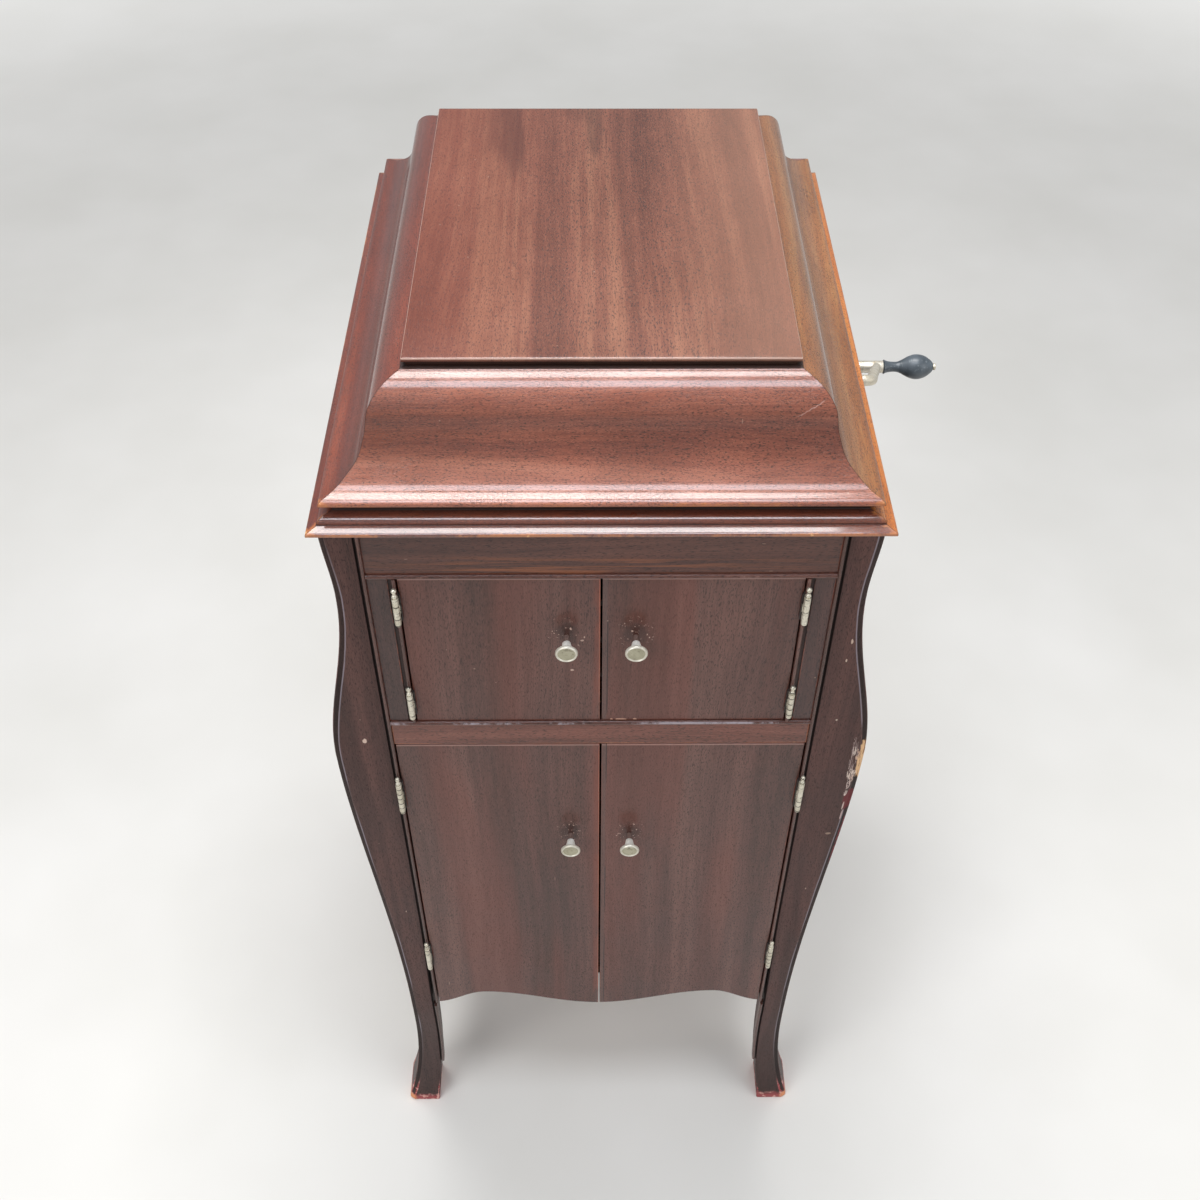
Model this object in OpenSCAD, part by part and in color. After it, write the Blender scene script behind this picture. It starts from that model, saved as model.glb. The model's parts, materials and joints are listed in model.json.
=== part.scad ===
// Upright wind-up gramophone cabinet: a veneered case on four serpentine corner posts, a hinged
// ogee lid over the turntable, two doors over the horn and two scalloped doors over the records.
// Units are millimetres. The origin is the middle of the footprint on the floor, +Z is up and
// the doors face -Y. Left and right are as seen from the front.

/* [Case] */
// Width over the two side panels
case_w = 398; // [388:1:406]
// Depth from the face of the front posts to the back of the rear posts
case_d = 504; // [490:2:530]
// Height from the floor to the underside of the top moulding
case_h = 961; // [950:1:980]
// Thickness of the side panels
side_t = 12; // [9:0.5:14]
// Thickness of the back panel
back_t = 8; // [5:0.5:10]
// How far the back panel sits in front of the rear posts' back faces
back_in = 12; // [6:1:18]
// Thickness of the boards and shelves
board_t = 14; // [10:0.5:16]
// Height of the underside of the bottom board
bottom_z = 260; // [250:1:280]
// Clear width between the front posts
opening_w = 366; // [360:1:370]
// Number of record shelves between the bottom board and the middle board
shelves = 2; // [1:1:3]

/* [Posts] */
// Width of a post under the moulding
post_top_w = 27; // [24:0.5:32]
// Width of a post at its narrow waist
post_waist_w = 22.5; // [20:0.5:26]
// Distance of the waist below the case's top
post_waist_drop = 73; // [56:1:91]
// Width of a post at its bulge
post_bulge_w = 49.5; // [40:0.5:58]
// Distance of the bulge below the case's top
post_bulge_drop = 277; // [241:2:321]
// Width of a post at the ankle
post_ankle_w = 27; // [24:0.5:34]
// Height of the ankle
post_ankle_z = 215; // [180:5:235]
// Distance from the inner line of a post to the outside of its toe
post_toe_w = 49; // [42:0.5:58]
// How far the inner line of a post has moved outwards at the floor
post_toe_in = 13; // [6:0.5:18]
// Depth of a post, front to back
post_d = 36; // [30:1:40]
// How far a toe reaches in front of the post's face
toe_reach = 8.5; // [4:0.5:14]
// Height of the blunt front of a toe
toe_blunt = 7; // [3:0.5:12]
// Height at which the bead on a leg ends
leg_bead_z = 85; // [60:5:120]

/* [Front] */
// Thickness of the doors
door_t = 18; // [14:0.5:20]
// Depth of the front rails and stiles
rail_t = 20; // [16:1:24]
// How far doors, rails and stiles sit behind the face of the posts
front_in = 1.2; // [0.5:0.1:3]
// Height of the top rail
top_rail_h = 46.5; // [36:0.5:56]
// Height of the opening between the top rail and the middle rail
upper_opening_h = 181.5; // [174:0.5:190]
// Height of the middle rail
mid_rail_h = 28; // [22:1:32]
// Width of the cock beads
bead_w = 2.8; // [2:0.1:4]
// How far the cock beads stand in front of the posts' face
bead_out = 1.2; // [0.5:0.1:2.5]
// Distance from the middle to the hinge line of an upper door
upper_hinge_x = 158.4; // [145:0.1:160]
// Gap between two doors in the middle
door_gap = 1.8; // [1:0.1:4]
// Height of the lower doors' lowest points
lower_door_z = 232; // [226:1:240]
// How far the scallop rises above the lowest points
scallop_h = 26; // [10:1:27]
// Distance from the middle to the crest of the scallop
scallop_x = 126; // [105:1:135]

/* [Door hardware] */
// Radius of a hinge barrel
barrel_r = 2.6; // [2.2:0.1:3]
// Radius of a hinge pin
pin_r = 1.3; // [1:0.1:1.6]
// Thickness of a hinge leaf
leaf_t = 1; // [0.8:0.1:1.1]
// Width of a hinge leaf
leaf_w = 16; // [10:1:17]
// Length of an upper door's hinge barrel
upper_barrel_l = 28; // [20:1:36]
// Length of a lower door's hinge barrel
lower_barrel_l = 40; // [26:1:50]
// Diameter of a knob's face
knob_d = 18; // [14:0.5:22]
// How far a knob stands out
knob_out = 20; // [16:0.5:26]
// Distance from the middle to a knob
knob_x = 27.5; // [20:0.5:40]
// Distance of the upper knobs below the top rail
upper_knob_drop = 70.5; // [44:0.5:124]
// Distance of the lower knobs below the middle rail
lower_knob_drop = 139; // [85:1:225]

/* [Top moulding and lid] */
// How far the moulding's lip stands out beyond the top of a post, to the side
lip_out = 6; // [3:0.5:9]
// How far the moulding's lip stands out beyond the posts, front and back
lip_front = 7.5; // [4:0.5:12]
// Height of the top moulding
mould_h = 19.5; // [17:0.5:23]
// Gap between the lid and the moulding
lid_gap = 0.5; // [0.3:0.1:1]
// How far the lid's lower edge sits inside the moulding's lip
lid_in = 10.5; // [8:0.5:13]
// Height of the ogee rails
ogee_h = 78; // [70:0.5:88]
// Width of the sloping ogee, from its lower edge to the raised panel
ogee_w = 62.5; // [56:0.5:70]
// Height of the raised panel over the ogee's shoulder
panel_up = 8; // [5:0.5:11]
// Lid opening angle
lid_open = 62; // [45:1:75]

/* [Deck] */
// How far the top of the motor board is below the case's top
deck_drop = 5; // [2:0.5:9]
// Radius of the turntable
table_r = 152.4; // [120:0.2:154]
// Height of the turntable's top over the motor board
table_up = 17; // [15:0.5:19]
// Depth of the turntable's rim
table_rim = 11; // [8:0.5:12]
// Thickness of the turntable's felt
felt_t = 2; // [1:0.25:3]
// Place of the turntable's spindle, sideways
spindle_x = -4; // [-8:1:0]
// Place of the spindle behind the front of the posts
spindle_y = 215; // [205:1:225]
// Radius of the spindle's pin for a record
record_pin_r = 3.6; // [3.4:0.05:3.6]
// Height of the pin over the felt
record_pin_h = 12; // [8:1:16]
// Place of the tone arm's pivot, sideways
arm_x = 92; // [85:1:100]
// Place of the pivot in front of the back of the posts
arm_back = 86; // [79:1:99]
// Distance from the pivot to the needle
arm_l = 233; // [225:1:240]
// Radius of the tone arm at its root
arm_r = 16; // [13:0.5:18]
// Radius of the soundbox
box_r = 25; // [22:0.5:27]
// Length of the needle under the soundbox
needle_l = 10; // [7:0.5:13]
// Distance from the spindle to the needle when the arm is parked
park_r = 140; // [120:1:148]

/* [Motor] */
// Place of the crank shaft behind the front of the posts
crank_y = 264; // [258:1:272]
// Distance of the crank shaft below the top of the motor board
crank_drop = 60; // [58:1:64]
// Radius of the crank shaft
crank_r = 5; // [4:0.25:6]
// Distance from the shaft's axis to the handle's axis
crank_arm = 122; // [90:1:140]
// How far the crank's elbow stands out from the side panel
elbow_out = 49; // [40:1:60]
// Angle of the crank below the level, pointing to the back
crank_down = 31; // [0:1:60]
// Length of the crank's handle
handle_l = 49.5; // [42:0.5:80]
// Radius of the handle's bulb
handle_r = 12.2; // [10:0.2:15]
// Radius of the spring barrel
spring_r = 55; // [45:1:57]
// Teeth on the spring barrel
barrel_teeth = 96; // [84:4:100]
// Teeth on the winding wheel
winding_teeth = 28; // [24:1:30]
// Teeth on the pinions of the train
pinion_teeth = 16; // [12:1:18]
// Teeth on the intermediate wheel
train_teeth = 64; // [56:1:68]
// Teeth on the spindle's worm wheel
worm_teeth = 48; // [40:2:52]

/* [Hidden] */
$fn = 64;

// Colours
WOOD = "#5c2b1d";
LID_WOOD = "#7a3d24";
INNER_WOOD = "#8a6544";
NICKEL = "#b9b6ac";
IRON = "#33322f";
STEEL = "#9a9a98";
BRASS = "#b08d4a";
FELT = "#2f5d3a";
HANDLE = "#20242c";

// Clearances
RUN = 0.05;        // radial clearance of a running fit
SLIP = 0.5;        // air between pieces that pass each other
GLUE = 0.1;        // half the thickness of a glued joint
HINGE_GAP = 1.4;   // from a bead beside a door to the door's edge
DOOR_AIR = 1;      // gap over and under a door
HINGE_AIR = 0.4;   // from the beads to a hinge barrel

// Places that several pieces share
front_y = -case_d / 2;
back_y = case_d / 2;
half_w = case_w / 2;
post_waist_z = case_h - post_waist_drop;
post_bulge_z = case_h - post_bulge_drop;
top_rail_z = case_h - top_rail_h;
middle_z = top_rail_z - upper_opening_h - mid_rail_h;
upper_knob_z = top_rail_z - upper_knob_drop;
lower_knob_z = middle_z - lower_knob_drop;
deck_z = case_h - deck_drop;
crank_z = deck_z - crank_drop;
inner_x = half_w - side_t;
half_open = opening_w / 2;
face_y = front_y + front_in;
bead_y = front_y - bead_out;
inside_y = front_y + front_in + rail_t + DOOR_AIR;
back_face_y = back_y - back_in - back_t;
deck_under = deck_z - board_t;
lip_x = half_open + post_top_w + lip_out;
lip_y = case_d / 2 + lip_front;
mould_top = case_h + mould_h;
lid_z = mould_top + lid_gap;
lid_x = lip_x - lid_in;
lid_y = lip_y - lid_in;
shoulder_z = lid_z + ogee_h;
QUIRK_W = 1.1;     // width of the groove between a post and the bead beside it
UPPER_QUIRK = 3.2; // width of the groove between a stile and the bead beside it
QUIRK_D = 3;       // depth of these grooves behind a bead's nose
bead_x = half_open - QUIRK_W - bead_w;
BEAD_H = 4;        // height of the level beads over and under the upper doors
lower_hinge_x = bead_x + bead_w / 2;
DOOR_BACK = bead_w / 2 + HINGE_GAP;  // from a hinge line to the door's edge
upper_door_z = middle_z + mid_rail_h + BEAD_H + DOOR_AIR;
upper_door_top = top_rail_z - BEAD_H - DOOR_AIR;
lower_door_top = middle_z - 1.5 * DOOR_AIR;
pivot_y = bead_y - barrel_r - HINGE_AIR;
sx = spindle_x;
sy = front_y + spindle_y;
BARREL_OUT = 86;   // from the spindle to the spring barrel, sideways
BARREL_MOD = 1.25;
barrel_x = sx + BARREL_OUT;
barrel_pitch_r = barrel_teeth * BARREL_MOD / 2;

function ease(t) = (1 - cos(180 * t)) / 2;
function mix(a, b, t) = a + (b - a) * t;
function ramp(n) = [for (i = [0 : n]) i / n];

// ---------- posts ----------

// Width of a post from its inner line, at height z
function post_w(z) =
    z > post_waist_z
        ? mix(post_waist_w, post_top_w, ease((z - post_waist_z) / (case_h - post_waist_z)))
        : z > post_bulge_z
        ? mix(post_waist_w, post_bulge_w, ease((post_waist_z - z) / (post_waist_z - post_bulge_z)))
        : z > post_ankle_z
        ? mix(post_bulge_w, post_ankle_w,
              ease(pow((post_bulge_z - z) / (post_bulge_z - post_ankle_z), 0.85)))
        : mix(post_ankle_w, post_toe_w, pow(toe_t(z), 2.7));

// How far the inner line has moved outwards at height z
INNER_SHIFT = 2.2;
function post_in(z) =
    z > 2 * post_ankle_z ? 0
    : z > post_ankle_z ? INNER_SHIFT * ease(2 - z / post_ankle_z)
    : mix(INNER_SHIFT, post_toe_in, pow(toe_t(z), 2.7));

// Share of the way from the ankle down to the blunt front of the toe
function toe_t(z) = max(0, (post_ankle_z - max(z, toe_blunt)) / (post_ankle_z - toe_blunt));
function post_front(z) = 1.5 * sin(180 * toe_t(z)) - toe_reach * pow(toe_t(z), 3);
function post_back(z) = post_d - 2 * sin(180 * toe_t(z)) + 2 * pow(toe_t(z), 3);

POST_STEPS = concat(
    [for (t = ramp(8)) mix(case_h, post_waist_z, t)],
    [for (t = ramp(14)) if (t > 0) mix(post_waist_z, post_bulge_z, t)],
    [for (t = ramp(16)) if (t > 0) mix(post_bulge_z, post_ankle_z, t)],
    [for (t = ramp(14)) if (t > 0) mix(post_ankle_z, toe_blunt, t)],
    [0]);

function turned(list) = [for (i = [len(list) - 1 : -1 : 0]) list[i]];

module post() {
    intersection() {
        translate([0, post_d + 2 * toe_reach, 0])
            rotate([90, 0, 0])
                linear_extrude(post_d + 4 * toe_reach)
                    polygon(concat([for (z = POST_STEPS) [post_w(z), z]],
                                   [for (z = turned(POST_STEPS)) [post_in(z), z]]));
        translate([-1, 0, 0])
            rotate([90, 0, 90])
                linear_extrude(2 * post_toe_w)
                    polygon(concat([for (z = POST_STEPS) [post_front(z), z]],
                                   [for (z = turned(POST_STEPS)) [post_back(z), z]]));
    }
}

// The bead on the inner edge of a front leg, under the doors
LEG_BEAD_DEEP = 8;
module leg_bead() {
    leg_strip(QUIRK_W, -bead_out);
    leg_strip(0, QUIRK_D - bead_out);
}
// A strip along the leg's inner line, from the bead's inner side to gap short of the post
module leg_strip(gap, front) {
    top = lower_door_z + SCALLOP_END - GLUE;
    heights = [for (t = ramp(12)) mix(top, leg_bead_z, t)];
    intersection() {
        translate([0, LEG_BEAD_DEEP, 0])
            rotate([90, 0, 0])
                linear_extrude(2 * LEG_BEAD_DEEP + toe_reach)
                    polygon(concat([for (z = heights) [post_in(z) - gap, z]],
                                   [for (z = turned(heights)) [post_in(z) - QUIRK_W - bead_w, z]]));
        translate([-2 * bead_w, 0, 0])
            rotate([90, 0, 90])
                linear_extrude(post_toe_w)
                    polygon(concat([for (z = heights) [post_front(z) + front, z]],
                                   [for (z = turned(heights)) [post_front(z) + LEG_BEAD_DEEP - 2, z]]));
    }
}
module corner_post() { translate([half_open, front_y, 0]) post(); }
module front_post() {
    corner_post();
    translate([half_open, front_y, 0]) leg_bead();
}

module post_front_left() { color(WOOD) mirror([1, 0, 0]) front_post(); }
module post_front_right() { color(WOOD) front_post(); }
module post_rear_left() { color(WOOD) mirror([0, 1, 0]) mirror([1, 0, 0]) corner_post(); }
module post_rear_right() { color(WOOD) mirror([0, 1, 0]) corner_post(); }

// ---------- case ----------

// Height of the scalloped edge at a share t of the way from the middle to the outside
SCALLOP_END = 4;
CREST = scallop_x / lower_hinge_x;
function scallop(t) = lower_door_z + (t < CREST
    ? scallop_h * ease(t / CREST)
    : mix(scallop_h, SCALLOP_END, ease((t - CREST) / (1 - CREST))));

module side_panel() {
    half = case_d / 2 - post_d;
    translate([inner_x, 0, 0])
        rotate([90, 0, 90])
            linear_extrude(side_t)
                polygon(concat([[half, case_h], [-half, case_h]],
                               [for (t = ramp(24)) [mix(-half, 0, t), scallop(1 - t)]],
                               [for (t = ramp(24)) if (t > 0) [mix(0, half, t), scallop(t)]]));
}

ESCUTCHEON_SLEEVE = 3;
module side_panel_left() { color(WOOD) mirror([1, 0, 0]) side_panel(); }
module side_panel_right() {
    color(WOOD)
        difference() {
            side_panel();
            translate([inner_x - 1, front_y + crank_y, crank_z])
                rotate([0, 90, 0])
                    cylinder(r = crank_r + ESCUTCHEON_SLEEVE, h = side_t + 2);
        }
}

module back_panel() {
    color(INNER_WOOD)
        translate([-half_open, back_face_y, bottom_z])
            cube([opening_w, back_t, case_h - bottom_z]);
}

// A board across the case, notched round the posts
module notched_board(z, thick, y0, y1) {
    notch = inner_x - half_open;
    translate([0, 0, z])
        linear_extrude(thick)
            difference() {
                translate([-inner_x, y0]) square([2 * inner_x, y1 - y0]);
                for (s = [-1, 1])
                    for (y = [front_y - 1, back_y - post_d])
                        translate([s > 0 ? half_open : -half_open - 2 * notch, y])
                            square([2 * notch, post_d + 1]);
            }
}

module bottom_board() {
    color(INNER_WOOD) notched_board(bottom_z, board_t, inside_y, back_face_y);
}
module middle_board() {
    color(INNER_WOOD) notched_board(middle_z, board_t, inside_y, back_face_y);
}

module record_shelves() {
    low = bottom_z + board_t;
    pitch = (middle_z - low + board_t) / (shelves + 1);
    color(INNER_WOOD)
        for (i = [1 : shelves])
            notched_board(low + i * pitch - board_t, board_t, inside_y + SHELF_IN, back_face_y);
}
SHELF_IN = 24;

// Strips on the side panels under the shelves and under the motor board
CLEAT = 12;
module cleat(z) {
    for (s = [-1, 1])
        translate([s > 0 ? inner_x - CLEAT : -inner_x, front_y + post_d, z - CLEAT])
            cube([CLEAT, case_d - 2 * post_d, CLEAT]);
}
module cleats() {
    low = bottom_z + board_t;
    pitch = (middle_z - low + board_t) / (shelves + 1);
    color(INNER_WOOD) {
        cleat(deck_under);
        for (i = [1 : shelves]) cleat(low + i * pitch - board_t);
    }
}

module top_rail() {
    color(WOOD)
        translate([-bead_x, face_y, top_rail_z])
            cube([2 * bead_x, rail_t, case_h - top_rail_z]);
}
module middle_rail() {
    color(WOOD)
        translate([-bead_x, face_y, middle_z])
            cube([2 * bead_x, rail_t, mid_rail_h]);
}
module hinge_stiles() {
    edge = upper_hinge_x + bead_w / 2 + UPPER_QUIRK;
    low = middle_z + mid_rail_h + BEAD_H;
    color(WOOD)
        for (x = [edge, -bead_x])
            translate([x, face_y, low])
                cube([bead_x - edge, rail_t, top_rail_z - BEAD_H - low]);
}

// A bead with a half-round nose, running along +Z from the origin; its foot is wider by quirk
module bead(w, length, quirk) {
    deep = front_in + rail_t + bead_out;
    linear_extrude(length) {
        translate([w / 2, w / 2]) circle(d = w, $fn = 24);
        translate([0, w / 2]) square([w, deep - w / 2]);
        translate([0, QUIRK_D]) square([w + quirk, deep - QUIRK_D]);
    }
}
module cock_beads() {
    low = middle_z + mid_rail_h + BEAD_H + GLUE;
    color(WOOD) {
        for (s = [0, 1])
            mirror([s, 0, 0]) {
                translate([bead_x, bead_y, lower_door_z + SCALLOP_END])
                    bead(bead_w, case_h - lower_door_z - SCALLOP_END, QUIRK_W);
                translate([upper_hinge_x - bead_w / 2, bead_y, low])
                    bead(bead_w, top_rail_z - BEAD_H - GLUE - low, UPPER_QUIRK);
            }
        for (z = [top_rail_z, middle_z + mid_rail_h + BEAD_H])
            translate([GLUE - bead_x, bead_y, z])
                rotate([0, 90, 0])
                    bead(BEAD_H, 2 * (bead_x - GLUE), 0);
    }
}

// ---------- top moulding ----------

// A rail of a mitred frame: its profile is drawn with x inwards from the outer edge and y up
module mitred_rail(half_len, deep, height) {
    intersection() {
        translate([-half_len, 0, 0])
            rotate([90, 0, 90])
                linear_extrude(2 * half_len)
                    children();
        linear_extrude(height)
            polygon([[GLUE - half_len, 0], [half_len - GLUE, 0], [half_len - deep - GLUE, deep],
                     [deep + GLUE - half_len, deep]]);
    }
}
// The four rails of a frame whose outer edges are at half_x and half_y
module mitred_frame(half_x, half_y, deep, height) {
    for (s = [0, 180]) {
        rotate(s)
            translate([0, -half_y, 0])
                mitred_rail(half_x, deep, height) children();
        rotate(s + 90)
            translate([0, -half_x, 0])
                mitred_rail(half_y, deep, height) children();
    }
}

mould_deep = lip_x - inner_x;
MOULD_LIP = 3;     // thickness of the moulding's lip
FASCIA_IN = 8;     // from the lip to the step under the moulding's bead
FASCIA_H = 5;      // height of that step's foot
STEP_H = 1;        // height of the step
CROWN_IN = 15.7;   // from the lip to the top of the bead
CROWN_H = 10.4;    // height of the bead's top
RISER_IN = 19;     // from the lip to the riser under the lid
module mould_profile() {
    foot = FASCIA_H + STEP_H;
    polygon(concat([[mould_deep, mould_h], [mould_deep, 0], [0, 0], [0, MOULD_LIP],
                    [FASCIA_IN, FASCIA_H]],
                   [for (t = ramp(10)) [mix(CROWN_IN, FASCIA_IN, cos(90 * t)),
                                        mix(foot, CROWN_H, sin(90 * t))]],
                   [[RISER_IN, CROWN_H], [RISER_IN, mould_h]]));
}

LID_BARREL_R = 3;
hinge_y = lid_y + LID_BARREL_R + SLIP;
hinge_z = mould_top + lid_gap / 2;
LID_BARREL_L = 54;
LID_HINGE_X = 105;
LID_LEAF_T = 1.2;
LID_LEAF_W = 20;

// The space of one leaf of a lid hinge; side 1 is over the hinge line, -1 under it
module lid_leaf_space(side, grow) {
    thick = LID_LEAF_T + grow;
    for (x = [-LID_HINGE_X, LID_HINGE_X])
        translate([x - LID_BARREL_L / 2 - grow, hinge_y - LID_LEAF_W,
                   side > 0 ? hinge_z + lid_gap / 2 : hinge_z - lid_gap / 2 - thick])
            cube([LID_BARREL_L + 2 * grow, LID_LEAF_W - LID_BARREL_R, thick]);
}

module top_moulding() {
    color(WOOD)
        difference() {
            translate([0, 0, case_h])
                mitred_frame(lip_x, lip_y, mould_deep, mould_h)
                    mould_profile();
            lid_leaf_space(-1, 0.01);
        }
}

// ---------- lid ----------

// The ogee from its lower edge to the foot of the panel, as inset and height shares
OGEE = [[0, 0.062], [0.05, 0.085], [0.16, 0.112], [0.27, 0.15], [0.36, 0.198], [0.43, 0.265],
        [0.485, 0.35], [0.525, 0.446], [0.56, 0.542], [0.58, 0.637], [0.60, 0.723], [0.64, 0.8],
        [0.70, 0.866], [0.78, 0.924], [0.88, 0.967], [0.97, 0.99], [1, 1]];
LID_WALL = 12;
RAIL_REST = 9;   // how far the rails reach in under the raised panel
rail_deep = ogee_w + RAIL_REST;
module ogee_profile() {
    polygon(concat([for (p = OGEE) [p[0] * ogee_w, p[1] * ogee_h]],
                   [[rail_deep, ogee_h], [rail_deep, ogee_h - LID_WALL], [0.8 * ogee_w, 0.74 * ogee_h],
                    [0.74 * ogee_w, 0.53 * ogee_h], [0.61 * ogee_w, 0.35 * ogee_h],
                    [0.61 * ogee_w, 0.05 * ogee_h], [0.45 * ogee_w, 0], [0, 0]]));
}
module lid_frame() {
    color(LID_WOOD)
        difference() {
            translate([0, 0, lid_z])
                mitred_frame(lid_x, lid_y, rail_deep, ogee_h)
                    ogee_profile();
            lid_leaf_space(1, 0.01);
        }
}

PANEL_STEP = 2.5;   // how far the panel's foot sits behind its lip
module lid_panel() {
    px = lid_x - ogee_w;
    py = lid_y - ogee_w;
    lip = panel_up / 2;
    color(LID_WOOD) {
        translate([PANEL_STEP - px, PANEL_STEP - py, shoulder_z])
            cube([2 * (px - PANEL_STEP), 2 * (py - PANEL_STEP), panel_up - lip]);
        translate([-px, -py, shoulder_z + panel_up - lip])
            cube([2 * px, 2 * py, lip]);
    }
}

// Knuckles of one side of a lid hinge: own picks the middle ones or the outer ones
module lid_knuckles(middle) {
    part = LID_BARREL_L / 3;
    for (x = [-LID_HINGE_X, LID_HINGE_X])
        for (i = middle ? [1] : [0, 2])
            translate([x - LID_BARREL_L / 2 + i * part + 0.15, hinge_y, hinge_z])
                rotate([0, 90, 0])
                    difference() {
                        cylinder(r = LID_BARREL_R, h = part - 0.3, $fn = 48);
                        if (middle)
                            translate([0, 0, -1])
                                cylinder(r = pin_r + RUN, h = part + 2);
                    }
}
module lid_tabs(side, middle) {
    part = LID_BARREL_L / 3;
    for (x = [-LID_HINGE_X, LID_HINGE_X])
        for (i = middle ? [1] : [0, 2])
            translate([x - LID_BARREL_L / 2 + i * part + 0.15, hinge_y - LID_BARREL_R - 1,
                       side > 0 ? hinge_z + lid_gap / 2 : hinge_z - lid_gap / 2 - LID_LEAF_T])
                cube([part - 0.3, LID_BARREL_R - pin_r, LID_LEAF_T]);
}
module lid_hinge_leaves() {
    color(NICKEL) {
        difference() {
            lid_leaf_space(1, 0);
            translate([-lid_x, hinge_y - LID_BARREL_R - 0.4, hinge_z])
                cube([2 * lid_x, LID_BARREL_R, LID_BARREL_R]);
        }
        lid_tabs(1, true);
        lid_knuckles(true);
    }
}
module lid_hinge_seats() {
    color(NICKEL) {
        difference() {
            lid_leaf_space(-1, 0);
            translate([-lid_x, hinge_y - LID_BARREL_R - 0.4, hinge_z - LID_BARREL_R])
                cube([2 * lid_x, LID_BARREL_R, LID_BARREL_R]);
        }
        lid_tabs(-1, false);
        lid_knuckles(false);
        for (x = [-LID_HINGE_X, LID_HINGE_X])
            translate([x - LID_BARREL_L / 2, hinge_y, hinge_z])
                rotate([0, 90, 0])
                    cylinder(r = pin_r, h = LID_BARREL_L);
    }
}

// ---------- lid stay ----------

STAY_BACK = 204;    // pivot in front of the back of the posts
STAY_UP = 15.5;     // pivot over the lid's lower edge
STAY_T = 2;
STAY_H = 11;
STAY_PIN_R = 2.5;
BRACKET_BACK = 104; // peg in front of the back of the posts
BRACKET_Z = mould_top - 9;
stay_wall = lid_x - 0.61 * ogee_w;
stay_x = -stay_wall + 2.5;
stay_py = back_y - STAY_BACK;
bracket_y = back_y - BRACKET_BACK;
stay_pz = lid_z + STAY_UP;
// where the pivot stands when the lid is open
open_y = hinge_y + (stay_py - hinge_y) * cos(lid_open) + (stay_pz - hinge_z) * sin(lid_open);
open_z = hinge_z - (stay_py - hinge_y) * sin(lid_open) + (stay_pz - hinge_z) * cos(lid_open);
stay_l = norm([open_y - bracket_y, open_z - BRACKET_Z]);

module lid_stay_lug() {
    color(NICKEL)
        translate([-stay_wall, stay_py, stay_pz])
            rotate([0, 90, 0]) {
                cylinder(r = 7, h = 2);
                cylinder(r = STAY_PIN_R, h = 6.5);
                translate([0, 0, 5]) cylinder(r = 4, h = 1.5);
            }
}
module lid_stay() {
    color(NICKEL)
        translate([stay_x, stay_py, stay_pz])
            rotate([0, 90, 0])
                difference() {
                    union() {
                        cylinder(d = STAY_H, h = STAY_T);
                        translate([0, -stay_l, 0]) cylinder(d = STAY_H, h = STAY_T);
                        translate([-STAY_H * 0.4, -stay_l, 0]) cube([STAY_H * 0.8, stay_l, STAY_T]);
                    }
                    translate([0, 0, -1]) cylinder(r = STAY_PIN_R + RUN, h = STAY_T + 2);
                    translate([0, -stay_l, -1]) cylinder(r = STAY_PIN_R, h = STAY_T + 2);
                }
}
module lid_stay_bracket() {
    reach = stay_x + inner_x - SLIP;
    color(NICKEL)
        translate([-inner_x, bracket_y, BRACKET_Z]) {
            translate([0, -12, -7]) cube([2, 24, 12]);
            rotate([0, 90, 0]) cylinder(r = STAY_PIN_R + 1, h = reach);
        }
}

// ---------- doors ----------

// A right-hand door as a plate, drawn in its own outline in x and z
module door_plate() {
    translate([0, face_y + door_t, 0])
        rotate([90, 0, 0])
            linear_extrude(door_t)
                children();
}
KNOB_SCREW_R = 2;
module knob_bore(z) {
    translate([knob_x, face_y - 1, z])
        rotate([-90, 0, 0])
            cylinder(r = KNOB_SCREW_R + RUN, h = KNOB_SCREW_L + 1);
}
KNOB_SCREW_L = 13;
// Where the leaves are let into a door's edge
module leaf_mortises(x, heights, length) {
    reach = pivot_y + barrel_r + KNUCKLE_AIR + leaf_w - face_y;
    for (z = heights)
        translate([x - DOOR_BACK - leaf_t, face_y - 1, z - RUN])
            cube([leaf_t + 1, reach + RUN + 1, length + 2 * RUN]);
}
module upper_door() {
    difference() {
        door_plate()
            translate([door_gap / 2, upper_door_z])
                square([upper_hinge_x - DOOR_BACK - door_gap / 2,
                        upper_door_top - upper_door_z]);
        knob_bore(upper_knob_z);
        leaf_mortises(upper_hinge_x, UPPER_HINGE_Z, upper_barrel_l);
    }
}
module lower_door() {
    x0 = door_gap / 2;
    x1 = lower_hinge_x - DOOR_BACK;
    difference() {
        door_plate()
            polygon(concat([[x1, lower_door_top], [x0, lower_door_top]],
                           [for (x = [for (t = ramp(36)) mix(x0, x1, t)])
                            [x, scallop(x / lower_hinge_x)]]));
        knob_bore(lower_knob_z);
        leaf_mortises(lower_hinge_x, LOWER_HINGE_Z, lower_barrel_l);
    }
}
module upper_door_right() { color(WOOD) upper_door(); }
module upper_door_left() { color(WOOD) mirror([1, 0, 0]) upper_door(); }
module lower_door_right() { color(WOOD) lower_door(); }
module lower_door_left() { color(WOOD) mirror([1, 0, 0]) lower_door(); }

// ---------- door hinges ----------

UPPER_HINGE_Z = [upper_door_z + 12, upper_door_top - 15.5 - upper_barrel_l];
LOWER_HINGE_Z = [lower_door_z + 91, lower_door_top - 50.5 - lower_barrel_l];
KNUCKLE_AIR = 0.3;

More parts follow.
